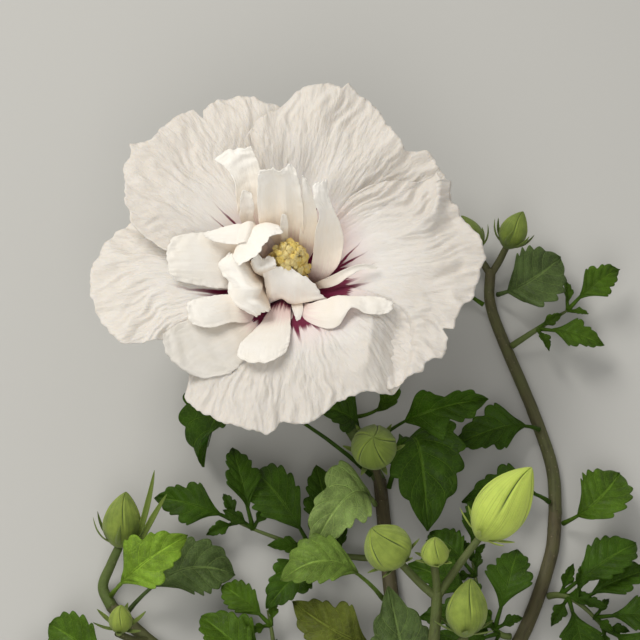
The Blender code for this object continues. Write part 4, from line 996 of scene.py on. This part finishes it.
# Stems: the points each runs through, its radius at stops along it, its side stalks, and how woody it is
stems = {
    "main_stem": {
        "line": [(33, -149.85, 2.8), (33, -146, 2.8), (33, -142, 2.8), (32, -125, 2.6), (30, -100, 2.4),
                 (27.5, -75, 2.2), (25.2, -46.8, 1.9)],
        "radii": [(0, 2.8), (0.5, 2.4), (1, 1.9)], "woody": 1.0,
        "stalks": [[(25.9, -52.5, 3), (25.2, -51.2, 9), (23.8, -48.6, 16), (22.7, -46.9, 22.7)]],
    },
    "bloom_stalk": {
        "line": [(25.2, -46.8, 1.8), (18, -33, 1.8), (9, -17, 1.8), (2.4, -5, 2.6), (0.2, -0.9, 5.6),
                 (0, 0, 9.35)],
        "radii": [(0, 1.8), (0.6, 1.6), (0.85, 1.8), (1, 2.5)], "woody": 0.15, "stalks": [],
    },
    "left_shoot": {
        "line": [(31, -131.8, 2.4), (12, -121, 2.2), (-12, -108.5, 2), (-34, -96.5, 1.9), (-49, -83.5, 1.9)],
        "radii": [(0, 2.2), (0.5, 2.0), (1, 1.7)], "woody": 0.7,
        "stalks": [[(-38.2, -93, 2.2), (-41.6, -94.2, 5), (-45.6, -93.6, 8.6)]],
    },
    "left_shoot_tip": {
        "line": [(-48.6, -83.9, 1.9), (-51.2, -78.5, 3.4), (-49.0, -73.2, 6.6), (-46.7, -69.2, 9.9)],
        "radii": [(0, 1.7), (0.5, 1.4), (1, 1.2)], "woody": 0.1, "stalks": [],
    },
    "right_shoot": {
        "line": [(33.5, -128, 2.5), (49, -112, 2.2), (63, -93, 2.1), (72, -70, 2.0), (74, -56.2, 2.0)],
        "radii": [(0, 2.2), (0.5, 2.0), (1, 1.9)], "woody": 0.9, "stalks": [],
    },
    "right_shoot_tip": {
        "line": [(74, -57, 2.0), (73.6, -43, 1.9), (68.6, -25, 1.8), (61, -4, 1.8), (57.6, 8, 2.2),
                 (57.8, 17, 5.6)],
        "radii": [(0, 1.9), (0.5, 1.7), (1, 1.5)], "woody": 0.75,
        "stalks": [[(57.7, 15.4, 5.0), (55.7, 18.4, 6.4), (53.9, 20.2, 7.7)],
                   [(57.8, 15.4, 5.0), (60.2, 18.8, 6.9), (61.6, 21.0, 8.9)]],
    },
    "front_shoot": {
        "line": [(32.5, -128, 6.8), (35.6, -116, 17), (38.2, -101, 29), (39, -90, 35.6)],
        "radii": [(0, 1.7), (1, 1.4)], "woody": 0.4,
        "stalks": [[(38.9, -91.5, 34.6), (35, -88.5, 36.2), (29.9, -83.5, 37.7)],
                   [(38.8, -91.5, 34.6), (38.8, -88.4, 37.4), (38.2, -84.9, 40.1)],
                   [(38.9, -91.5, 34.6), (44, -84.5, 37.4), (49.4, -77.8, 40.2)],
                   [(38.2, -101.5, 28.6), (42.4, -103.6, 28.2), (45.7, -101.3, 29.8)]],
    },
}
bark = {
    "wood": (0.080, 0.066, 0.028),
    "dark": (0.028, 0.023, 0.009),
    "young": (0.09, 0.14, 0.022),
    "speck": (0.24, 0.20, 0.12),
    "ridges": (0.09, 0.05),
    "sideRadii": [(0, 1.1), (1, 0.9)],  # of the side stalks
    "intoBud": 1.3,  # how far they run on into the buds
    "row": 0.7,  # the mesh's length of a row, and its sides round a stem and round a stalk
    "sides": 30,
    "stalkSides": 20,
    "low": 3,  # a stem that comes under this lies on the floor, so no ridge stands out of it
}


def barkFinish(name, woody):
    finish = Finish(name, {"Roughness": 0.68})
    across, along = finish.sheetPlace()
    place = finish.place()
    streaks = finish.noise(finish.join(across * 7, along * 18, woody), 1.0, 5.0, 0.65)
    blotch = finish.noise(place, 120.0, 3.0, 0.6)
    specks = finish.node("ShaderNodeTexVoronoi", {}, {"Vector": place, "Scale": 620.0})
    share = finish.maths("MINIMUM", finish.maths("MAXIMUM", woody + (blotch - 0.5) * 0.7, 0.0), 1.0)
    base = finish.blend(share, bark["young"], bark["wood"])
    base = finish.blend(finish.step(0.45, 0.72, streaks) * mix(0.25, 0.7, woody), base, bark["dark"])
    speck = (1 - finish.step(0.10, 0.16, specks)) * 0.55 * mix(0.3, 1, woody)
    finish.colour(finish.blend(speck, base, bark["speck"]))
    finish.relief(streaks * 0.7 - finish.step(0.05, 0.25, specks) * 0.3, 0.3)
    return finish.material


def stemForm(points, radii, seed, sides):
    length = sum((Vector(b) - Vector(a)).length for a, b in zip(points, points[1:]))
    line = smoothLine(points, max(4, round(length / bark["row"] / (len(points) - 1))))
    radiusAt = softCurve(radii)
    lies = min(point.z for point in line) < bark["low"]
    broad, fine = bark["ridges"]

    def size(t, turn):
        along = t * length
        ridge = broad * wave(2.2 * math.cos(turn), 2.2 * math.sin(turn), along / 9 + seed)
        ridge += fine * wave(6 * math.cos(turn), 6 * math.sin(turn), along / 2.2 + seed)
        return radiusAt(t) + (min(0, ridge - 0.03) if lies else ridge)

    return tubeForm(line, size, sides)


def makeStem(name, sizes):
    whole = stemForm(sizes["line"], sizes["radii"], len(name), bark["sides"])
    for index, stalk in enumerate(sizes["stalks"]):
        before, end = Vector(stalk[-2]), Vector(stalk[-1])
        inside = end + (end - before).normalized() * bark["intoBud"]
        addTo(whole, stemForm([*stalk, inside], bark["sideRadii"], index + 20, bark["stalkSides"]))
    newPiece(name + "_bark", whole, barkFinish(name, sizes["woody"]), [name])


cutFace = {
    "radius": 2.72,
    "thickness": 0.06,
    "inward": 0.1,
    "pith": (0.75, 0.74, 0.62),
    "wood": (0.62, 0.55, 0.36),
    "ring": (0.46, 0.40, 0.24),
    "green": (0.14, 0.20, 0.06),  # just under the bark
}


def makeCutFace():  # the pale wood and pith of the flat cut
    look = cutFace
    finish = Finish("cut_wood", {"Roughness": 0.8})
    x, _, z = finish.split(finish.place())
    middle = toFrame(cutEnd)
    x, z = (x - middle.x) / mm, (z - middle.z) / mm
    radius = finish.maths("SQRT", x * x + z * z)
    rays = finish.noise(finish.place(), 900.0, 3.0, 0.6)
    rings = finish.maths("SINE", (radius + rays * 0.5) * 7)
    wood = finish.blend(rings * 0.25 + 0.4, look["wood"], look["ring"])
    wood = finish.blend(1 - finish.step(0.5, 0.8, radius), wood, look["pith"])
    finish.colour(finish.blend(finish.step(2.2, 2.5, radius), wood, look["green"]))
    finish.relief(rays, 0.15)
    form = bmesh.new()
    bmesh.ops.create_circle(form, segments=30, radius=look["radius"] * mm, cap_ends=True)
    bmesh.ops.inset_region(form, faces=form.faces[:], thickness=0.3 * mm, depth=0.03 * mm)
    upright = Matrix.Rotation(math.radians(90), 3, "X")
    bmesh.ops.rotate(form, verts=form.verts, cent=(0, 0, 0), matrix=upright)
    bmesh.ops.translate(form, verts=form.verts, vec=toFrame(cutEnd + Vector((0, look["inward"], 0))))
    bmesh.ops.recalc_face_normals(form, faces=form.faces)
    piece = newPiece("cut_wood", form, finish.material, ["main_stem"])
    thicken(piece, look["thickness"]).modifiers["thickness"].offset = 1


# Each leaf: its stalk's foot, where its midrib is half way, its tip, the share of that line that is bare
# stalk, the blade's width, its roll, how far its halves fold up, in degrees, its outline and its green
leaves = {
    "leaf_left_of_bloom": ((22.8, -46.1, 4.0), (-11, -27.5, 13.5), (-24, -45, 8), 0.5, 22, 12, 34,
                           "broad", "deep"),
    "leaf_below_bud": ((23.8, -54.6, 3.6), (16, -57, 17), (5.2, -72, 9), 0.1, 20, -14, 22, "lobed", "fresh"),
    "leaf_large_right": ((27.6, -49.6, 3.5), (34.5, -40, 17), (38, -64.5, 10), 0.3, 24, -12, 16,
                         "broad", "deep"),
    "leaf_tilted_right": ((21.8, -38.3, 3.75), (35, -36.5, 25), (54.5, -31.5, 25), 0.4, 18, 38, 34,
                          "deep_lobed", "deep"),
    "leaf_behind_petal": ((19.4, -33.2, 4.4), (16.5, -31.5, 12), (6, -29, 17), 0.2, 14, 10, 15,
                          "lobed", "deep"),
    "leaf_narrow": ((17.5, -28, 2.8), (27, -26, 10), (28, -14, 15), 0.3, 6, 20, 20, "narrow", "mid"),
    "leaf_right_a": ((70.2, -32.4, 4.3), (60, -33, 8), (45, -38, 5), 0.22, 15, 0, 14, "lobed", "deep"),
    "leaf_right_b": ((72.3, -54, 4.0), (62, -52, 9), (48, -54, 4), 0.22, 16, 10, 14, "lobed", "deep"),
    "leaf_right_outer": ((76, -60, 3.4), (84, -57, 12), (92, -46, 6), 0.22, 16, -10, 16, "broad", "mid"),
    "leaf_left_bright": ((-48.8, -81.0, 3.9), (-40, -77.5, 19), (-27.5, -68.5, 18), 0.22, 17, 8, 14,
                         "lobed", "bright"),
    "leaf_left_grey": ((-44.3, -85.8, 3.5), (-30, -76, 10), (-15, -75.5, 5), 0.25, 16, 12, 12,
                       "broad", "grey"),
    "leaf_low_olive": ((27.2, -97, 3.8), (14, -95, 14), (1, -84.5, 9), 0.2, 18, -16, 16, "lobed", "olive"),
    "leaf_mid_light": ((25.7, -82, 3.7), (12, -77, 21), (-2, -81, 17), 0.26, 15, 12, 14, "broad", "light"),
    "leaf_low_broad": ((31.9, -111, 5.2), (31, -104, 15), (26.6, -84, 21), 0.16, 24, 0, 14, "lobed", "grey"),
    "leaf_cluster_right": ((59.8, 9.8, 3.5), (68, 10, 12), (78, 20, 7), 0.16, 18, 10, 14, "broad", "grey"),
    "leaf_cluster_left": ((55.6, 6.7, 3.3), (45, 17, 4), (40, 31, 2.5), 0.16, 12, -10, 12, "narrow", "mid"),
}
# Each leaf's green is partly its own colour and partly painted light and shade: darker greens for leaves
# that lie in shade, lighter ones for leaves in the light.
greens = {
    "deep": (0.040, 0.095, 0.004),
    "mid": (0.068, 0.140, 0.008),
    "bright": (0.205, 0.350, 0.030),
    "fresh": (0.290, 0.410, 0.120),
    "light": (0.150, 0.240, 0.040),
    "grey": (0.090, 0.140, 0.040),
    "olive": (0.110, 0.135, 0.018),
}
leafLook = {
    "mesh": (96, 26, 8),  # rows, columns and the stalk's sides
    "thickness": 0.34,
    "stalkRadii": [(0, 0.78), (0.12, 0.6), (0.45, 0.42), (1, 0.132)],
    "stalkReach": 0.92,  # how far up the midrib the stalk runs
    "stalkDepth": 0.45,  # how far under the blade
    "teeth": 6,
    "toothDepth": 0.24,
    "veins": 6,
    "veinSlant": 0.20,
    "quilt": 0.22,  # how far it swells between its side veins
    "groove": 0.25,
    "ripple": 0.5,
    "rimWave": 0.35,
    "droop": 0.05,
    "shader": {"Roughness": 0.5, "Specular IOR Level": 0.14, "Subsurface Weight": 0.08,
               "Subsurface Radius": (0.4, 1.0, 0.2), "Subsurface Scale": 0.0006},
}


def leafFinish(name, green, seed):
    look = leafLook
    finish = Finish(name, look["shader"])
    across, along = finish.sheetPlace()
    out = finish.maths("ABSOLUTE", across)
    slant = (along - out * look["veinSlant"]) * look["veins"]
    gap = finish.maths("ABSOLUTE", finish.maths("FRACT", slant) - 0.5)  # 0.5 on a side vein
    side = finish.step(0.455, 0.495, gap) * (1 - finish.step(0.75, 0.95, out))
    rib = 1 - finish.step(0.02, 0.07, out)
    net = finish.node("ShaderNodeTexVoronoi", {"feature": "DISTANCE_TO_EDGE"},
                      {"Vector": finish.join(across * 7, along * 26, seed), "Scale": 1.0})
    mesh = 1 - finish.step(0.02, 0.12, net)
    mottle = finish.noise(finish.place(), 180.0, 4.0, 0.6)
    dark = [channel * 0.55 for channel in green]
    pale = [channel * 1.8 + more for channel, more in zip(green, (0.05, 0.06, 0.015))]
    base = finish.blend(finish.step(0.3, 0.7, mottle), dark, green)
    base = finish.blend(mesh * 0.16, base, pale)
    base = finish.blend(side * 0.5, base, pale)
    base = finish.blend(rib * 0.55, base, pale)
    finish.colour(base)
    finish.roughness(0.36 + mottle * 0.2)
    finish.relief(mottle * 0.5 - mesh * 0.25 - side * 0.5 - rib * 0.3, 0.35)
    return finish.material


leafOutlines = {
    "lobed": softCurve([(0, 0.05), (0.12, 0.30), (0.25, 0.80), (0.35, 1.0), (0.44, 0.84), (0.53, 0.66),
                        (0.64, 0.64), (0.76, 0.50), (0.88, 0.26), (1, 0.02)]),
    "deep_lobed": softCurve([(0, 0.06), (0.12, 0.40), (0.24, 0.95), (0.33, 1.0), (0.41, 0.62), (0.48, 0.48),
                             (0.60, 0.58), (0.72, 0.55), (0.86, 0.30), (1, 0.02)]),
    "broad": softCurve([(0, 0.05), (0.14, 0.50), (0.30, 0.94), (0.44, 1.0), (0.60, 0.92), (0.76, 0.72),
                        (0.90, 0.36), (1, 0.02)]),
    "narrow": softCurve([(0, 0.06), (0.18, 0.60), (0.38, 1.0), (0.60, 0.86), (0.82, 0.45), (1, 0.02)]),
}


def leafRib(foot, middle, tip, roll):  # a leaf's midrib: its place, heading, side and upper face
    rib = midrib(foot, middle, tip)

    def at(share):
        point, heading, side = rib(share)
        side.rotate(Matrix.Rotation(math.radians(roll), 3, heading))
        return point, heading, side, side.cross(heading)

    return at


def leafBlade(rib, stalkShare, width, fold, outlineName, seed):
    look = leafLook
    outline = leafOutlines[outlineName]
    tilt = math.radians(fold)

    def place(a, t):
        share = mix(stalkShare, 1, t)
        point, heading, side, face = rib(share)
        out = abs(a)
        saw = (t * look["teeth"] + 0.3 * wave(a * 3, seed)) % 1
        tooth = look["toothDepth"] * (1.3 * saw * (1 - saw**5) - 0.5) * out**4 * smoothStep(0.08, 0.3, t)
        half = width / 2 * outline(t) * (1 + tooth)
        lean = 0.30 * half * out * (1 - share) + 0.16 * half * out**3
        slant = (t - out * look["veinSlant"]) * look["veins"]
        quilt = -look["quilt"] * math.cos(math.tau * slant) * math.sin(math.pi * min(1, out * 1.1))
        groove = -look["groove"] * math.exp(-((a / 0.07) ** 2))
        rise = look["ripple"] * wave(a * 2.2, t * 3.5, seed) * out + quilt + groove
        rise += look["rimWave"] * wave(t * 9, a * 2, seed + 3) * out**4 - look["droop"] * half * out**3
        across = side * a * math.cos(tilt) + face * out * math.sin(tilt)
        return point + across * half + face * rise + heading * lean

    return place


def leafForm(foot, middle, tip, stalkShare, width, roll, fold, outlineName, seed, rows, columns, sides):
    rib = leafRib(foot, middle, tip, roll)
    form = gridForm(rows, columns, leafBlade(rib, stalkShare, width, fold, outlineName, seed))
    fillOut(form, leafLook["thickness"])
    line = []
    for share in (step / 12 for step in range(13)):
        point, _, _, face = rib(leafLook["stalkReach"] * share)
        line.append(point - face * leafLook["stalkDepth"] * smoothStep(0, 0.3, share))
    size = softCurve(leafLook["stalkRadii"])
    addTo(form, tubeForm(line, lambda t, turn: size(t), sides))
    return form


def makeLeaf(name, sizes):
    form = leafForm(*sizes[:-1], len(name) * 1.7, *leafLook["mesh"])
    newPiece(name + "_blade", form, leafFinish(name, greens[sizes[-1]], len(name) * 0.7), [name])


# Short leafy twigs: foot, middle and tip, how many leaves, the longest leaf, the seed of the scatter, green
sprays = {
    "spray_middle": ((23.6, -70, 2.7), (6, -68, 5), (-16, -60, 6), 9, 30, 3, "deep"),
    "spray_low_middle": ((-6.4, -109.4, 4.2), (-4, -100, 6), (-6, -86, 6), 8, 26, 5, "mid"),
    "spray_left": ((-30.6, -101.2, 3.2), (-44, -104, 7), (-58, -103, 6), 7, 25.9, 7, "mid"),
    "spray_low_right": ((60.2, -92.6, 3.6), (54, -88, 6), (50, -70, 6), 8, 26, 11, "deep"),
    "spray_right": ((71.2, -81, 3.0), (78, -84, 8), (86, -92, 6), 6, 25.9, 13, "deep"),
    "spray_low": ((28.8, -118, 3.8), (16, -116, 6), (2, -108, 5), 7, 26, 17, "olive"),
    "spray_right_high": ((63.4, -6.2, 3.2), (72, -2, 8), (80, 4, 6), 5, 24, 19, "mid"),
}
# A twig's own numbers, then from the turn on the ranges that each leaf's are drawn from
sprayRule = {
    "twig": (1.0, 0.45),  # its radius at its ends
    "mesh": (48, 14, 6),
    "first": 0.22,  # where the first and the last leaf sit on it
    "last": 0.97,
    "swing": (68, 38),  # how far the leaves swing out at its ends
    "taper": 0.72,  # the last leaf's share of the length
    "near": 1.2,  # a leaf grows only where its tip is this near the solid
    "turn": (-14, 14),
    "tipTurn": (-10, 10),
    "length": (0.85, 1.1),
    "rise": (0.14, 0.34),
    "tipRise": (-0.02, 0.22),
    "roll": (-24, 24),
    "fold": (10, 22),
    "width": (0.5, 0.62),
}
youngRule = {  # of the young leaves at a leaf's foot
    "mesh": (22, 8, 5),
    "turn": (32, 60),
    "length": (0.30, 0.46),
    "rise": (0.2, 0.4),
    "tipRise": (0.1, 0.5),
    "roll": (-30, 30),
    "fold": 24,
    "width": 0.5,
}


def draw(scatter, rule, *keys):  # a number from each range in turn
    return [scatter.uniform(*rule[key]) for key in keys]


def levelWay(heading, swing):
    way = Vector((heading.x, heading.y, 0)).normalized()
    way.rotate(Matrix.Rotation(swing, 3, up))
    return way


def arch(foot, way, length, rise, tipRise):  # the middle and tip of a leaf from its foot
    return foot + way * length * 0.5 + up * length * rise, foot + way * length + up * length * tipRise


def sprayLeaves(foot, middle, tip, count, longest, seed):  # left and right in turn, the last at the tip
    scatter = random.Random(seed)
    rule = sprayRule
    rib = midrib(foot, middle, tip)
    found = []
    for index in range(count):
        share = mix(rule["first"], rule["last"], index / (count - 1))
        point, heading, _ = rib(share)
        swing = math.radians(mix(*rule["swing"], share) + scatter.uniform(*rule["turn"])) * (-1) ** index
        if index == count - 1:
            swing = math.radians(scatter.uniform(*rule["tipTurn"]))
        length = longest * mix(1, rule["taper"], share) * scatter.uniform(*rule["length"])
        rise, tipRise, roll, fold = draw(scatter, rule, "rise", "tipRise", "roll", "fold")
        halfWay, end = arch(point, levelWay(heading, swing), length, rise, tipRise)
        width = length * scatter.uniform(*rule["width"])
        found.append((point, halfWay, end, 0.2, width, roll, fold, "lobed" if index % 3 else "broad"))
    return found


def sideLeaves(sizes, seed):  # two young leaves from a leaf's foot
    foot, tip = sizes[0], sizes[2]
    scatter = random.Random(seed)
    rule = youngRule
    found = []
    for side in (-1, 1):
        way = levelWay(tip - foot, math.radians(side * scatter.uniform(*rule["turn"])))
        length = (tip - foot).length * scatter.uniform(*rule["length"])
        rise, tipRise, roll = draw(scatter, rule, "rise", "tipRise", "roll")
        halfWay, end = arch(foot, way, length, rise, tipRise)
        found.append((foot, halfWay, end, 0.2, length * rule["width"], roll, rule["fold"], "lobed"))
    return found


def nodeTree(name):
    mesh = frame["nodes"][name].data
    return BVHTree.FromPolygons([v.co for v in mesh.vertices], [face.vertices for face in mesh.polygons])


def makeSprays():
    twigs = bmesh.new()
    for name, (foot, middle, tip, count, longest, seed, green) in sprays.items():
        solid = nodeTree(name)
        rib = midrib(foot, middle, tip)
        line = [rib(step / 18)[0] for step in range(19)]
        addTo(twigs, tubeForm(line, lambda t, turn: mix(*sprayRule["twig"], t) * (1 - 0.6 * t**12), 10))
        foliage = bmesh.new()
        for index, sizes in enumerate(sprayLeaves(foot, middle, tip, count, longest, seed)):
            gap = solid.find_nearest(toFrame(sizes[2]))[3]
            if gap < sprayRule["near"] * mm:  # the solid twig has this leaf
                addTo(foliage, leafForm(*sizes, seed + index, *sprayRule["mesh"]))
                for young in sideLeaves(sizes, seed * 10 + index):
                    addTo(foliage, leafForm(*young, seed + index, *youngRule["mesh"]))
        newPiece(name + "_leaves", foliage, leafFinish(name, greens[green], seed * 0.6), [name])
    newPiece("spray_twigs", twigs, barkFinish("spray_twigs", 0.25), list(sprays))


studio = {
    "elevation": 66.0,  # the camera looks down this steeply
    "distance": 700.0,
    "pixel": 0.28,  # millimetres to a pixel, where the camera aims
    "pixels": 640,
    "right": 30.0,  # pixels from the bloom's foot to the middle of the picture, to the right and up
    "up": -24.0,
    "sensor": 36,
    "near": 0.05,
    "far": 5,
    "floor": (0.50, 0.50, 0.48),
    "floorReach": 1.5,
    "sky": (1.0, 0.98, 0.95, 1),
    "skyPower": 0.41,
    "lamps": {  # each lamp's place, size, power and colour
        "key": ((-0.45, 0.42, 0.74), 0.5, 5.4, (1.0, 0.97, 0.92)),
        "fill": ((-0.1, -0.6, 0.8), 0.6, 3.0, (1.0, 0.98, 0.95)),
    },
}


def makeCamera():
    tilt = math.radians(studio["elevation"])
    back = Vector((0, -math.cos(tilt), math.sin(tilt)))
    over = Vector((0, math.sin(tilt), math.cos(tilt)))
    right = Vector((studio["right"], 0, 0))
    aim = bloom["foot"] + right * studio["pixel"] + over * studio["up"] * studio["pixel"]
    lens = bpy.data.cameras.new("camera")
    lens.sensor_width = studio["sensor"]
    lens.lens = lens.sensor_width / studio["pixels"] * studio["distance"] / studio["pixel"]
    lens.clip_start, lens.clip_end = studio["near"], studio["far"]
    camera = bpy.data.objects.new("camera", lens)
    camera.location = toFrame(aim + back * studio["distance"])
    camera.rotation_euler = (-back).to_track_quat("-Z", "Y").to_euler()
    bpy.context.scene.collection.objects.link(camera)
    bpy.context.scene.camera = camera


def makeFloor():
    form = bmesh.new()
    bmesh.ops.create_grid(form, x_segments=1, y_segments=1, size=studio["floorReach"])
    mesh = bpy.data.meshes.new("floor")
    form.to_mesh(mesh)
    form.free()
    mesh.materials.append(Finish("floor", {"Roughness": 0.9, "Base Color": (*studio["floor"], 1)}).material)
    floor = bpy.data.objects.new("floor", mesh)
    bpy.context.scene.collection.objects.link(floor)


def makeLight():
    scene = bpy.context.scene
    scene.world = bpy.data.worlds.new("studio")
    scene.world.use_nodes = True
    sky = scene.world.node_tree.nodes["Background"]
    sky.inputs["Color"].default_value = studio["sky"]
    sky.inputs["Strength"].default_value = studio["skyPower"]
    for name, (place, size, power, colour) in studio["lamps"].items():
        light = bpy.data.lights.new(name, "AREA")
        light.size, light.energy, light.color = size, power, colour
        lamp = bpy.data.objects.new(name, light)
        lamp.location = place
        lamp.rotation_euler = (-Vector(place)).to_track_quat("-Z", "Y").to_euler()
        scene.collection.objects.link(lamp)
    scene.view_settings.view_transform = "Standard"


makeCamera()
makeFloor()
makeLight()
makeOuterPetals()
print("outer petals made")
for petaloidName, petaloidNet in petaloids.items():
    makePetaloid(petaloidName, petaloidNet)
makeStamens()
print("petaloids and stamens made")
makeCalyx()
for budName, budSizes in buds.items():
    makeBud(budName, *budSizes)
print("calyx and buds made")
for stemName, stemSizes in stems.items():
    makeStem(stemName, stemSizes)
makeCutFace()
print("stems made")
for leafName, leafSizes in leaves.items():
    makeLeaf(leafName, leafSizes)
makeSprays()
print("leaves and sprays made")
